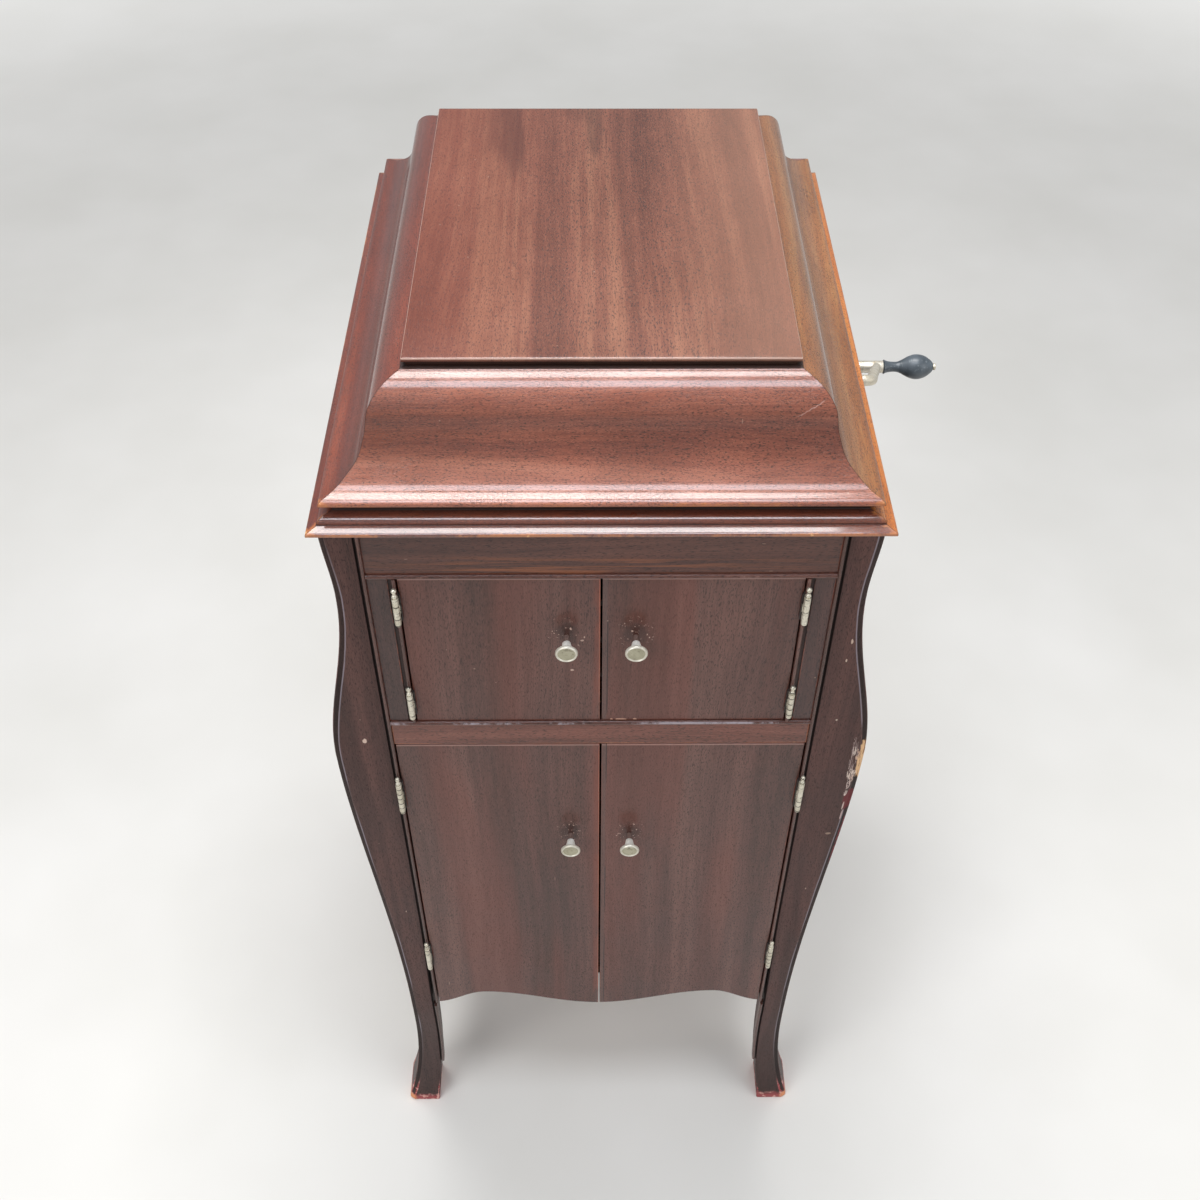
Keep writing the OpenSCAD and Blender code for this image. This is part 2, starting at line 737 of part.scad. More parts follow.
// A leaf and its knuckles, on the hinge line at the origin: side 1 is on the bead, -1 on the door
module leaf(side, length, middle) {
    part = length / 3;
    x = -leaf_t - (side > 0 ? bead_w / 2 : DOOR_BACK);
    translate([x, barrel_r + KNUCKLE_AIR, 0])
        cube([leaf_t, leaf_w, length]);
    for (i = middle ? [1] : [0, 2])
        translate([0, 0, i * part + KNUCKLE_AIR / 2])
            difference() {
                union() {
                    cylinder(r = barrel_r, h = part - KNUCKLE_AIR, $fn = 48);
                    translate([x, pin_r + KNUCKLE_AIR, 0]) {
                        cube([leaf_t, barrel_r, part - KNUCKLE_AIR]);
                        cube([-x, barrel_r - pin_r - KNUCKLE_AIR, part - KNUCKLE_AIR]);
                    }
                }
                if (middle)
                    translate([0, 0, -1])
                        cylinder(r = pin_r + RUN, h = part + 2);
            }
}
// A hinge pin with its ball finials
module hinge_pin(length) {
    ball = barrel_r * 0.85;
    cylinder(r = pin_r, h = length + 3.5 * ball);
    translate([0, 0, length + 0.9 * ball]) sphere(r = ball, $fn = 32);
    translate([0, 0, length + 3.5 * ball]) sphere(r = ball, $fn = 32);
    translate([0, 0, -ball * 0.5]) sphere(r = ball * 1.15, $fn = 32);
}
module door_leaves(x, heights, length) {
    color(NICKEL)
        for (z = heights)
            translate([x, pivot_y, z])
                leaf(-1, length, true);
}
module upper_hinge_leaves_right() { door_leaves(upper_hinge_x, UPPER_HINGE_Z, upper_barrel_l); }
module upper_hinge_leaves_left() { mirror([1, 0, 0]) upper_hinge_leaves_right(); }
module lower_hinge_leaves_right() { door_leaves(lower_hinge_x, LOWER_HINGE_Z, lower_barrel_l); }
module lower_hinge_leaves_left() { mirror([1, 0, 0]) lower_hinge_leaves_right(); }

module case_leaves(x, heights, length) {
    for (z = heights)
        translate([x, pivot_y, z]) {
            leaf(1, length, false);
            hinge_pin(length);
        }
}
module case_hinge_leaves() {
    color(NICKEL)
        for (s = [0, 1])
            mirror([s, 0, 0]) {
                case_leaves(upper_hinge_x, UPPER_HINGE_Z, upper_barrel_l);
                case_leaves(lower_hinge_x, LOWER_HINGE_Z, lower_barrel_l);
            }
}

// ---------- knobs ----------

module knob(z) {
    r = knob_d / 2;
    out = knob_out;
    translate([knob_x, face_y, z])
        rotate([90, 0, 0]) {
            rotate_extrude()
                polygon([[0, 0], [4.6, 0], [4.6, 1.2], [3.4, 2], [2.8, 4], [2.8, out - 9],
                         [3.6, out - 6.5], [5.2, out - 5], [6.6, out - 4.4], [6.6, out - 3.4],
                         [r - 0.6, out - 3], [r, out - 2.2], [r, out - 0.8], [r - 0.6, out],
                         [r - 1.4, out - 0.2], [r - 1.8, out - 0.8], [0, out - 1.2]]);
            translate([0, 0, 0.5 - KNOB_SCREW_L]) cylinder(r = KNOB_SCREW_R, h = KNOB_SCREW_L);
        }
}
module upper_knob_right() { color(NICKEL) knob(upper_knob_z); }
module upper_knob_left() { color(NICKEL) mirror([1, 0, 0]) knob(upper_knob_z); }
module lower_knob_right() { color(NICKEL) knob(lower_knob_z); }
module lower_knob_left() { color(NICKEL) mirror([1, 0, 0]) knob(lower_knob_z); }

// Spring strips behind the rails, with a bulge that holds each door's free edge
CATCH_X = 14;
CATCH_W = 16;
CATCH_T = 0.8;
CATCH_UP = 6;      // how far a strip reaches up behind its rail
CATCH_DOWN = 13;   // how far it hangs down behind the doors
CATCH_BULGE = 1.6;
module door_catches() {
    profile = [[0, CATCH_UP], [CATCH_T, CATCH_UP], [CATCH_T, -CATCH_DOWN], [0, -CATCH_DOWN],
               [0, 1 - CATCH_DOWN], [-CATCH_BULGE, 4 - CATCH_DOWN], [0, 7 - CATCH_DOWN]];
    color(BRASS)
        for (x = [-CATCH_X - CATCH_W, CATCH_X])
            for (z = [top_rail_z, middle_z])
                translate([x, face_y + rail_t, z])
                    rotate([90, 0, 90])
                        linear_extrude(CATCH_W)
                            polygon(profile);
}

// ---------- horn ----------

HORN_T = 8;          // thickness of its boards
HORN_HALF = 150;     // half its width at the mouth
HORN_END_HALF = 40;  // half its width at the throat
HORN_END_UP = 13;    // how far its floor rises
HORN_UP = 6;         // from the crank shaft up to the mouth's ceiling
HORN_FALL = 1 / 3;   // slope of its ceiling
HORN_TO_ARM = 77.8;  // from the horn's end to the tone arm's pivot
tx = arm_x;
ty = back_y - arm_back;
throat_y = ty - HORN_TO_ARM;
horn_l = throat_y - inside_y;
horn_low = middle_z + board_t + HORN_T;
horn_top = crank_z + HORN_UP;
horn_end_low = horn_low + HORN_END_UP;
horn_end_top = horn_top - HORN_FALL * horn_l;
// Corner i of the horn's section at a share t of its length, grown by g
function horn_corner(i, t, g) = let (
    w = mix(HORN_HALF, HORN_END_HALF, t) + g,
    low = mix(horn_low, horn_end_low, t) - g,
    top = mix(horn_top, horn_end_top, t) + g)
    [i == 0 || i == 3 ? -w : w, inside_y + t * horn_l, i < 2 ? low : top];
// Corner i of a board of the horn that reaches to corner j, short by the glue
function board_corner(i, j, t, g) = let (a = horn_corner(i, t, g), b = horn_corner(j, t, g))
    a + (b - a) * GLUE / norm(b - a);
module horn_board(i) {
    j = (i + 1) % 4;
    polyhedron([for (t = [0, 1])
                    each [board_corner(i, j, t, 0), board_corner(j, i, t, 0),
                          board_corner(j, i, t, HORN_T), board_corner(i, j, t, HORN_T)]],
               [[0, 1, 2, 3], [7, 6, 5, 4], [0, 4, 5, 1], [1, 5, 6, 2], [2, 6, 7, 3], [3, 7, 4, 0]]);
}
module horn() {
    color(INNER_WOOD)
        for (i = [0 : 3]) horn_board(i);
}

SLATS = 3;
SLAT_DEEP = 34;
SLAT_T = 7;
SLAT_HALF = HORN_HALF - 14;
SLAT_TILT = 12;
module horn_slats() {
    pitch = (horn_top - horn_low) / (SLATS + 1);
    color(WOOD)
        for (i = [1 : SLATS])
            translate([-SLAT_HALF, inside_y + 2, horn_low + i * pitch])
                rotate([-SLAT_TILT, 0, 0])
                    translate([0, 0, -SLAT_T / 2])
                        cube([2 * SLAT_HALF, SLAT_DEEP, SLAT_T]);
}

THROAT_WALL = 3;
THROAT_R = 24;
THROAT_FLANGE = 14;   // how far its flange reaches beyond its bore
THROAT_UP = 6;        // from the horn's end up to the middle of the throat's bend
throat_z = horn_end_top + THROAT_UP;
// The throat's outside, or its hollow when cut is true
module throat_form(cut) {
    g = cut ? 0 : THROAT_WALL;
    e = cut ? 1 : 0;
    hull() {
        translate([-HORN_END_HALF - g, throat_y - e, horn_end_low - g])
            cube([2 * (HORN_END_HALF + g), 2, horn_end_top - horn_end_low + 2 * g]);
        translate([tx, ty, throat_z])
            sphere(r = THROAT_R + g, $fn = 32);
    }
}
module horn_throat() {
    color(IRON)
        difference() {
            union() {
                throat_form(false);
                translate([tx, ty, throat_z])
                    cylinder(r = THROAT_R + THROAT_WALL, h = deck_under - throat_z);
                translate([tx, ty, deck_under - 6])
                    cylinder(r = THROAT_R + THROAT_FLANGE, h = 6);
            }
            throat_form(true);
            translate([tx, ty, throat_z])
                cylinder(r = THROAT_R, h = deck_under - throat_z + 1);
        }
}

// ---------- deck ----------

CUP_R = 19;
CUP_DEEP = 9;
CUP_EDGE = 45;        // from the side panels to the needle cups
CUP_Y = 66;           // needle cups behind the front of the posts
PIVOT_EDGE = 41;      // from the side panels to the brake's pin and the regulator's
REGULATOR_Y = 128;    // regulator behind the front of the posts
BRAKE_BACK = 132;     // brake's pin in front of the back of the posts
CUPS = [[CUP_EDGE - inner_x, CUP_Y], [inner_x - CUP_EDGE, CUP_Y]];
REGULATOR = [inner_x - PIVOT_EDGE, REGULATOR_Y];
BRAKE = [PIVOT_EDGE - inner_x, case_d - BRAKE_BACK];
PIVOT_R = 3;       // pins of the brake and the regulator
BOLT_R = 3;
BOLT_HEAD_R = 6.5;
BOLT_HEAD_H = 2.5;
SPINDLE_HOLE_R = 9;
// The motor's bolts stand round its barrel, at these places behind the posts' front
BOLT_X = [spindle_x - 66, barrel_x + barrel_pitch_r + 8];
BOLT_Y = [crank_y - 99, crank_y + 28];
BOLTS = [for (x = BOLT_X, y = BOLT_Y) [x, y]];
module motor_board() {
    color(WOOD)
        difference() {
            notched_board(deck_under, board_t, front_y + rail_t + 4, back_face_y - 1);
            translate([sx, sy, deck_under - 1]) cylinder(r = SPINDLE_HOLE_R, h = board_t + 2);
            translate([tx, ty, deck_under - 1]) cylinder(r = THROAT_R, h = board_t + 2);
            for (p = CUPS)
                translate([p[0], front_y + p[1], deck_under - 1])
                    cylinder(r = CUP_R + SLIP, h = board_t + 2);
            for (p = [REGULATOR, BRAKE])
                translate([p[0], front_y + p[1], deck_under - 1])
                    cylinder(r = PIVOT_R + RUN, h = board_t + 2);
            for (p = BOLTS)
                translate([p[0], front_y + p[1], deck_under - 1])
                    cylinder(r = BOLT_R + RUN, h = board_t + 2);
        }
}

table_top = deck_z + table_up;
felt_top = table_top + felt_t;
HUB_R = 14;
SPINDLE_R = 4;
HUB_BORE_R = SPINDLE_R + 0.02;
module turntable() {
    low = table_top - table_rim;
    color(NICKEL)
        translate([sx, sy, 0])
            rotate_extrude($fn = 128)
                polygon([[HUB_BORE_R, low], [HUB_R, low], [HUB_R, table_top - 3],
                         [table_r - 4, table_top - 3], [table_r - 4, low], [table_r - 1, low],
                         [table_r, low + 1], [table_r, table_top - 1.5], [table_r - 1.5, table_top],
                         [HUB_BORE_R, table_top]]);
}
module turntable_felt() {
    color(FELT)
        translate([sx, sy, table_top])
            rotate_extrude($fn = 128)
                translate([record_pin_r + 1, 0])
                    square([table_r - 3 - record_pin_r, felt_t]);
}

// ---------- tone arm ----------

needle_air = 1;
arm_z = felt_top + needle_air + needle_l + box_r;
ARM_BEND = arm_r + 4;
ARM_WALL = 1.5;
ARM_END_R = 10;
NECK_BEND = 20;
NECK_AIR = 0.3;    // between the arm's end and the neck that turns in it
BOX_T = 16;
box_off = NECK_BEND + BOX_T / 2 + 2;
arm_reach = sqrt(arm_l * arm_l - box_off * box_off);
park_to = norm([tx - sx, ty - sy]);
// angles from straight ahead, positive to the right
to_spindle = atan2(sx - tx, ty - sy);
needle_angle = to_spindle
    + acos((arm_l * arm_l + park_to * park_to - park_r * park_r) / (2 * arm_l * park_to));
arm_angle = needle_angle - atan2(box_off, arm_reach);

SLEEVE_H = 27;
module tone_arm_bracket() {
    low = deck_z;
    color(NICKEL)
        translate([tx, ty, 0])
            rotate_extrude()
                polygon([[arm_r + RUN, low], [arm_r + 18, low], [arm_r + 18, low + 3],
                         [arm_r + 14, low + 5], [arm_r + 8, low + 6], [arm_r + 5, low + 10],
                         [arm_r + 4.5, low + 22], [arm_r + 6, low + 24], [arm_r + 6, low + SLEEVE_H],
                         [arm_r + RUN, low + SLEEVE_H]]);
}
module tube(r0, r1, length) {
    difference() {
        cylinder(r1 = r0, r2 = r1, h = length);
        translate([0, 0, -0.01])
            cylinder(r1 = r0 - ARM_WALL, r2 = r1 - ARM_WALL, h = length + 0.02);
    }
}
// Everything on the arm is drawn pointing to -Y from the pivot, then turned to where it is parked
module on_arm() { translate([tx, ty, arm_z]) rotate(arm_angle) children(); }
module tone_arm() {
    straight = arm_reach - NECK_BEND - ARM_BEND - NECK_AIR;
    color(NICKEL)
        on_arm() {
            translate([0, 0, deck_z + 8 - arm_z])
                tube(arm_r, arm_r, arm_z - ARM_BEND - deck_z - 8);
            translate([0, -ARM_BEND, -ARM_BEND])
                rotate([90, 0, 90])
                    rotate_extrude(angle = 90)
                        translate([ARM_BEND, 0])
                            difference() {
                                circle(r = arm_r);
                                circle(r = arm_r - ARM_WALL);
                            }
            translate([0, -ARM_BEND, 0])
                rotate([90, 0, 0])
                    tube(arm_r, ARM_END_R, straight);
        }
}
NECK_PLUG = 4;
// The bent neck and the round box with its diaphragm, needle bar, screw and needle
module soundbox() {
    color(NICKEL)
        on_arm()
            translate([0, -arm_reach, 0]) {
                translate([NECK_BEND, NECK_BEND, 0])
                    rotate(180)
                        rotate_extrude(angle = 90)
                            translate([NECK_BEND, 0])
                                circle(r = ARM_END_R - 1);
                translate([0, NECK_BEND + NECK_PLUG, 0])
                    rotate([90, 0, 0])
                        cylinder(r = ARM_END_R - ARM_WALL - RUN, h = NECK_PLUG);
                translate([box_off - BOX_T / 2 - 2, 0, 0])
                    rotate([0, 90, 0])
                        rotate_extrude()
                            polygon([[0, 0], [12, 0], [14, 3], [box_r - 2, 4], [box_r, 6],
                                     [box_r, BOX_T], [box_r - 1.5, BOX_T + 1.5],
                                     [box_r - 4, BOX_T + 1.5], [box_r - 5, BOX_T - 1],
                                     [0, BOX_T - 1]]);
                translate([box_off, 0, -box_r]) {
                    translate([-4, -3, -3]) cube([8, 6, 5]);
                    translate([0, 0, -needle_l]) cylinder(r1 = 0.3, r2 = 0.9, h = needle_l);
                    translate([0, 0, 0]) rotate([90, 0, 0]) cylinder(r = 1.4, h = 9);
                    translate([0, -9, 0]) rotate([90, 0, 0]) cylinder(r = 3.2, h = 3);
                }
            }
}

module needle_cups() {
    color(NICKEL)
        for (p = CUPS)
            translate([p[0], front_y + p[1], deck_z])
                rotate_extrude()
                    polygon([[0, -CUP_DEEP], [CUP_R - 3, -CUP_DEEP], [CUP_R, -CUP_DEEP + 3],
                             [CUP_R, 0], [CUP_R + 3, 0], [CUP_R + 3, 1], [CUP_R + 1.5, 1.8],
                             [CUP_R - 1.2, 1.2], [CUP_R - 1.2, -CUP_DEEP + 3.4],
                             [CUP_R - 3.6, -CUP_DEEP + 1.2], [0, -CUP_DEEP + 1.2]]);
}

module speed_regulator() {
    color(NICKEL)
        translate([REGULATOR[0], front_y + REGULATOR[1], 0]) {
            translate([0, 0, deck_under - 8]) cylinder(r = PIVOT_R, h = board_t + 8 + SLIP);
            translate([0, 0, deck_z + SLIP]) cylinder(r = 11, h = 2);
            translate([0, 0, deck_z + SLIP + 2]) cylinder(r = 7, h = 4);
            translate([0, -1.2, deck_z + SLIP]) cube([15, 2.4, 1.6]);
        }
}

// The brake turns on its pin until its pad meets the turntable's rim
brake_reach = norm([BRAKE[0] - sx, front_y + BRAKE[1] - sy]) - table_r - SLIP;
brake_angle = atan2(sy - front_y - BRAKE[1], sx - BRAKE[0]);
module brake_lever() {
    color(NICKEL)
        translate([BRAKE[0], front_y + BRAKE[1], 0]) {
            translate([0, 0, deck_under - 4]) cylinder(r = PIVOT_R, h = board_t + 4 + 2);
            translate([0, 0, deck_z + SLIP]) cylinder(r = 7, h = 4);
            rotate(brake_angle) {
                translate([0, -3, deck_z + 2]) cube([brake_reach - 5, 6, 2.5]);
                translate([brake_reach - 9, -5, deck_z + 4.5])
                    cube([9 - SLIP, 10, table_up - table_rim + 4]);
            }
            rotate(brake_angle + 150)
                translate([0, -3.5, deck_z + 2]) cube([26, 7, 2.5]);
        }
}

// ---------- motor ----------

PLATE_T = 4;
top_plate_z = deck_under - 8 - PLATE_T;
TRAIN_MOD = 1;
WORM_R = 8;
GEAR_T = 5;
LOW_PLATE_DROP = 28;  // from the crank shaft down to the lower plate
TRAIN_DROP = 16;      // and down to the train wheel
BARREL_AIR = 2;       // between the worm and the spring barrel
low_plate_z = crank_z - LOW_PLATE_DROP;
train_z = crank_z - TRAIN_DROP;
barrel_z = crank_z + WORM_R + BARREL_AIR;
WINDING_MOD = 2;
barrel_pinion_r = pinion_teeth * BARREL_MOD / 2;
train_r = train_teeth * TRAIN_MOD / 2;
spindle_pinion_r = pinion_teeth * TRAIN_MOD / 2;
winding_r = winding_teeth * WINDING_MOD / 2;
MESH = 0.4;    // extra distance between worms and their wheels

// Arbors in plan: the barrel beside the crank shaft, the train wheel between it and the spindle
barrel_y = front_y + crank_y - winding_r - WORM_R - MESH;
to_barrel = norm([barrel_x - sx, barrel_y - sy]);
first_mesh = barrel_pitch_r + barrel_pinion_r;
second_mesh = train_r + spindle_pinion_r;
mesh_turn = acos((second_mesh * second_mesh + to_barrel * to_barrel - first_mesh * first_mesh)
                 / (2 * second_mesh * to_barrel));
train_angle = atan2(barrel_y - sy, barrel_x - sx) + mesh_turn;
train_x = sx + second_mesh * cos(train_angle);
train_y = sy + second_mesh * sin(train_angle);
train_to_barrel = atan2(barrel_y - train_y, barrel_x - train_x);

// A toothed wheel with a tooth centred on +X
module gear(teeth, size, thick) {
    root = size * (teeth / 2 - 1.15);
    tip = size * (teeth / 2 + 0.85);
    step = 360 / teeth;
    linear_extrude(thick)
        polygon([for (i = [0 : teeth - 1], k = [[-0.30, root], [-0.12, tip], [0.12, tip], [0.30, root]])
                 [k[1] * cos((i + k[0]) * step), k[1] * sin((i + k[0]) * step)]]);
}
// A worm as turned threads round a core, along +Z from the origin
module worm(r, core, pitch, count) {
    rotate_extrude()
        polygon(concat([[0, 0]],
                       [for (i = [0 : count - 1], k = [[0, core], [0.3, r], [0.5, r], [0.8, core]])
                        [k[1], (i + k[0]) * pitch]],
                       [[core, count * pitch], [0, count * pitch]]));
}

GOV_R = 2;
GOV_WORM_R = 5;
GOV_UP = 6;           // from the crank shaft up to the governor's
GOV_LEFT = 80;        // the governor's reach to the left of the spindle
GOV_RIGHT = 28;       // and to the right of it
gov_z = crank_z + GOV_UP;
gov_y = sy - worm_teeth * TRAIN_MOD / 2 - GOV_WORM_R - MESH - 1;
GOV_STAND_T = 4;
gov_x0 = sx - GOV_LEFT;
gov_x1 = sx + GOV_RIGHT;

FRAME_EDGE = 8;    // from the bolts to the plates' edge
module frame_outline() {
    translate([gov_x0, BOLT_Y[0] - FRAME_EDGE])
        square([BOLT_X[1] + FRAME_EDGE - gov_x0, BOLT_Y[1] - BOLT_Y[0] + 2 * FRAME_EDGE]);
}
module motor_frame() {
    color(IRON) {
        translate([0, front_y, 0])
            difference() {
                union() {
                    translate([0, 0, top_plate_z]) linear_extrude(PLATE_T) frame_outline();
                    translate([0, 0, low_plate_z]) linear_extrude(PLATE_T) frame_outline();
                }
                for (p = [[sx, sy, SPINDLE_R], [barrel_x, barrel_y, ARBOR_R],
                          [train_x, train_y, TRAIN_ARBOR_R]])
                    translate([p[0], p[1] - front_y, low_plate_z - 1])
                        cylinder(r = p[2] + RUN, h = deck_z - low_plate_z);
            }
        for (p = BOLTS)
            translate([p[0], front_y + p[1], 0]) {
                translate([0, 0, low_plate_z + PLATE_T])
                    cylinder(r = 5, h = top_plate_z - low_plate_z - PLATE_T);
                translate([0, 0, top_plate_z + PLATE_T])
                    cylinder(r = 6, h = deck_under - top_plate_z - PLATE_T);
                translate([0, 0, deck_under]) cylinder(r = BOLT_R, h = board_t);
                translate([0, 0, deck_z]) cylinder(r = BOLT_HEAD_R, h = BOLT_HEAD_H);
            }
        for (x = [gov_x0, gov_x1 - GOV_STAND_T])
            difference() {
                translate([x, gov_y - 6, low_plate_z + PLATE_T])
                    cube([GOV_STAND_T, 12, gov_z - low_plate_z - PLATE_T + 6]);
                translate([x - 1, gov_y, gov_z])
                    rotate([0, 90, 0])
                        cylinder(r = GOV_R + RUN, h = GOV_STAND_T + 2);
            }
        difference() {
            translate([barrel_x + spring_r + 1, front_y + crank_y - 9, low_plate_z + PLATE_T])
                cube([8, 18, crank_z - low_plate_z - PLATE_T + 9]);
            translate([barrel_x + spring_r, front_y + crank_y, crank_z])
                rotate([0, 90, 0]) cylinder(r = crank_r + RUN, h = 10);
        }
    }
}

ARBOR_R = 5;
TRAIN_ARBOR_R = 2.5;
DRUM_WALL = 2;
drum_top = top_plate_z - 1;
module spring_barrel() {
    color(BRASS)
        translate([barrel_x, barrel_y, 0]) {
            difference() {
                union() {
                    translate([0, 0, barrel_z])
                        rotate(train_to_barrel + 180)
                            gear(barrel_teeth, BARREL_MOD, GEAR_T);
                    translate([0, 0, barrel_z]) cylinder(r = spring_r, h = drum_top - barrel_z);
                }
                translate([0, 0, barrel_z + DRUM_WALL])
                    cylinder(r = spring_r - DRUM_WALL, h = drum_top - barrel_z - 2 * DRUM_WALL);
                translate([0, 0, barrel_z - 1]) cylinder(r = ARBOR_R + RUN, h = drum_top);
            }
        }
}
MAIN_TURNS = 6;
MAIN_T = 1.2;
// The coiled spring in the barrel, from the arbor to the drum's wall
module mainspring() {
    steps = MAIN_TURNS * 16;
    r0 = ARBOR_R + 2;
    r1 = spring_r - DRUM_WALL - MAIN_T - SLIP;
    spiral = [for (t = ramp(steps)) [mix(r0, r1, t), t * 360 * MAIN_TURNS]];
    color(STEEL)
        translate([barrel_x, barrel_y, barrel_z + DRUM_WALL + SLIP])
            linear_extrude(drum_top - barrel_z - 2 * DRUM_WALL - 2 * SLIP)
                polygon(concat([for (p = spiral) [p[0] * cos(p[1]), p[0] * sin(p[1])]],
                               [for (p = turned(spiral))
                                [(p[0] + MAIN_T) * cos(p[1]), (p[0] + MAIN_T) * sin(p[1])]]));
}
module winding_wheel() {
    color(STEEL)
        translate([barrel_x, barrel_y, 0]) {
            translate([0, 0, low_plate_z]) cylinder(r = ARBOR_R, h = top_plate_z + PLATE_T - low_plate_z);
            translate([0, 0, crank_z - 4])
                rotate(90)
                    intersection() {
                        gear(winding_teeth, WINDING_MOD, 8);
                        cylinder(r = winding_r - MESH, h = 8);
                    }
        }
}
module train_wheel() {
    color(BRASS)
        translate([train_x, train_y, 0]) {
            translate([0, 0, low_plate_z])
                cylinder(r = TRAIN_ARBOR_R, h = top_plate_z + PLATE_T - low_plate_z);
            translate([0, 0, train_z])
                rotate(train_angle + 180)
                    gear(train_teeth, TRAIN_MOD, GEAR_T);
            translate([0, 0, barrel_z - 1])
                rotate(train_to_barrel + 180 / pinion_teeth)
                    gear(pinion_teeth, BARREL_MOD, GEAR_T + 2);
        }
}
module turntable_spindle() {
    color(STEEL)
        translate([sx, sy, 0]) {
            translate([0, 0, low_plate_z]) cylinder(r = SPINDLE_R, h = table_top - low_plate_z);
            translate([0, 0, table_top])
                cylinder(r = record_pin_r, h = felt_t + record_pin_h - 1);
            translate([0, 0, felt_top + record_pin_h - 1])
                cylinder(r1 = record_pin_r, r2 = record_pin_r - 1, h = 1);
            translate([0, 0, train_z])
                rotate(train_angle + 180 / pinion_teeth)
                    gear(pinion_teeth, TRAIN_MOD, GEAR_T);
            translate([0, 0, gov_z - 3])
                intersection() {
                    rotate(-90) gear(worm_teeth, TRAIN_MOD, 6);
                    cylinder(r = worm_teeth * TRAIN_MOD / 2 + 0.6, h = 6);
                }
        }
}
GOV_WORM_PITCH = 3;
GOV_WORM_TURNS = 6;
GOV_DISC_R = 15;      // friction disc
GOV_DISC_T = 2;
GOV_DISC_IN = 8;      // from the shaft's end to the disc
COLLAR_R = 4;
COLLAR_L = 6;
COLLAR_SPAN = 32;     // from one collar to the other
WEIGHT_R = 5;
WEIGHT_L = 10;
WEIGHT_OUT = 12;      // from the shaft to a weight's axis
STRAP = [3, 8];       // a weight's spring, across and outwards
// Shaft, worm, three weights on springs between two collars, and the friction disc
module governor() {
    collar_x = GOV_DISC_IN + GOV_DISC_T;
    color(BRASS)
        translate([0, gov_y, gov_z])
            rotate([0, 90, 0]) {
                translate([0, 0, sx - GOV_WORM_TURNS * GOV_WORM_PITCH / 2])
                    worm(GOV_WORM_R, GOV_R + 1, GOV_WORM_PITCH, GOV_WORM_TURNS);
                translate([0, 0, gov_x0]) {
                    cylinder(r = GOV_R, h = gov_x1 - gov_x0);
                    translate([0, 0, GOV_DISC_IN]) cylinder(r = GOV_DISC_R, h = GOV_DISC_T);
                    for (x = [collar_x, collar_x + COLLAR_SPAN])
                        translate([0, 0, x]) cylinder(r = COLLAR_R, h = COLLAR_L);
                    for (a = [0, 120, 240])
                        rotate(a) {
                            translate([-STRAP[0] / 2, COLLAR_R - 1, collar_x + COLLAR_L / 3])
                                cube([STRAP[0], STRAP[1], COLLAR_SPAN + COLLAR_L / 3]);
                            translate([0, WEIGHT_OUT, collar_x + (COLLAR_SPAN + COLLAR_L - WEIGHT_L) / 2])
                                cylinder(r = WEIGHT_R, h = WEIGHT_L);
                        }
                }
            }
}

// ---------- crank ----------

SOCKET_X = 158;
WORM_PITCH = 6;
elbow_x = half_w + elbow_out;
module winding_shaft() {
    x0 = barrel_x - 26;
    worm_n = 7;
    color(STEEL)
        translate([0, front_y + crank_y, crank_z])
            rotate([0, 90, 0]) {
                translate([0, 0, x0]) cylinder(r = crank_r, h = SOCKET_X - x0);
                translate([0, 0, barrel_x - worm_n * WORM_PITCH / 2])
                    worm(WORM_R, crank_r, WORM_PITCH, worm_n);
                translate([0, 0, SOCKET_X - 6])
                    difference() {
                        cylinder(r = crank_r + 3, h = 24);
                        translate([0, 0, 6]) cylinder(r = crank_r, h = 19);
                    }
            }
}

// The arm leans outwards on its way to the handle
ARM_LEAN = 27;
ROD_R = 4.6;
PIN_R = 2.4;
BOSS_R = 6;
BOSS_IN = 22;   // from the arm's end to the boss's inner end
BOSS_OUT = 6;   // and to its outer end
CAP_R = PIN_R + 0.9;
CAP_L = 1.8;
boss_x = elbow_x + ARM_LEAN;
module crank() {
    bend = 10;
    color(NICKEL)
        translate([0, front_y + crank_y, crank_z])
            rotate([-crank_down, 0, 0]) {
                rotate([0, 90, 0])
                    translate([0, 0, SOCKET_X])
                        cylinder(r = crank_r, h = elbow_x - bend - SOCKET_X);
                translate([elbow_x - bend, bend, 0])
                    rotate(-90)
                        rotate_extrude(angle = 90)
                            translate([bend, 0])
                                circle(r = crank_r);
                arm_len = norm([ARM_LEAN, crank_arm - bend]);
                translate([elbow_x, bend, 0])
                    rotate([-90, 0, 0])
                        rotate([0, atan2(ARM_LEAN, crank_arm - bend), 0])
                            cylinder(r1 = crank_r, r2 = ROD_R, h = arm_len);
                translate([elbow_x, bend, 0]) sphere(r = crank_r);
                translate([boss_x - BOSS_IN, crank_arm, 0])
                    rotate([0, 90, 0])
                        cylinder(r = BOSS_R, h = BOSS_IN + BOSS_OUT);
                translate([boss_x + BOSS_OUT, crank_arm, 0])
                    rotate([0, 90, 0]) {
                        cylinder(r = PIN_R, h = handle_l + 2 * SLIP);
                        translate([0, 0, handle_l + 2 * SLIP]) cylinder(r = CAP_R, h = CAP_L);
                    }
            }
}
NECK_R = 4.8;
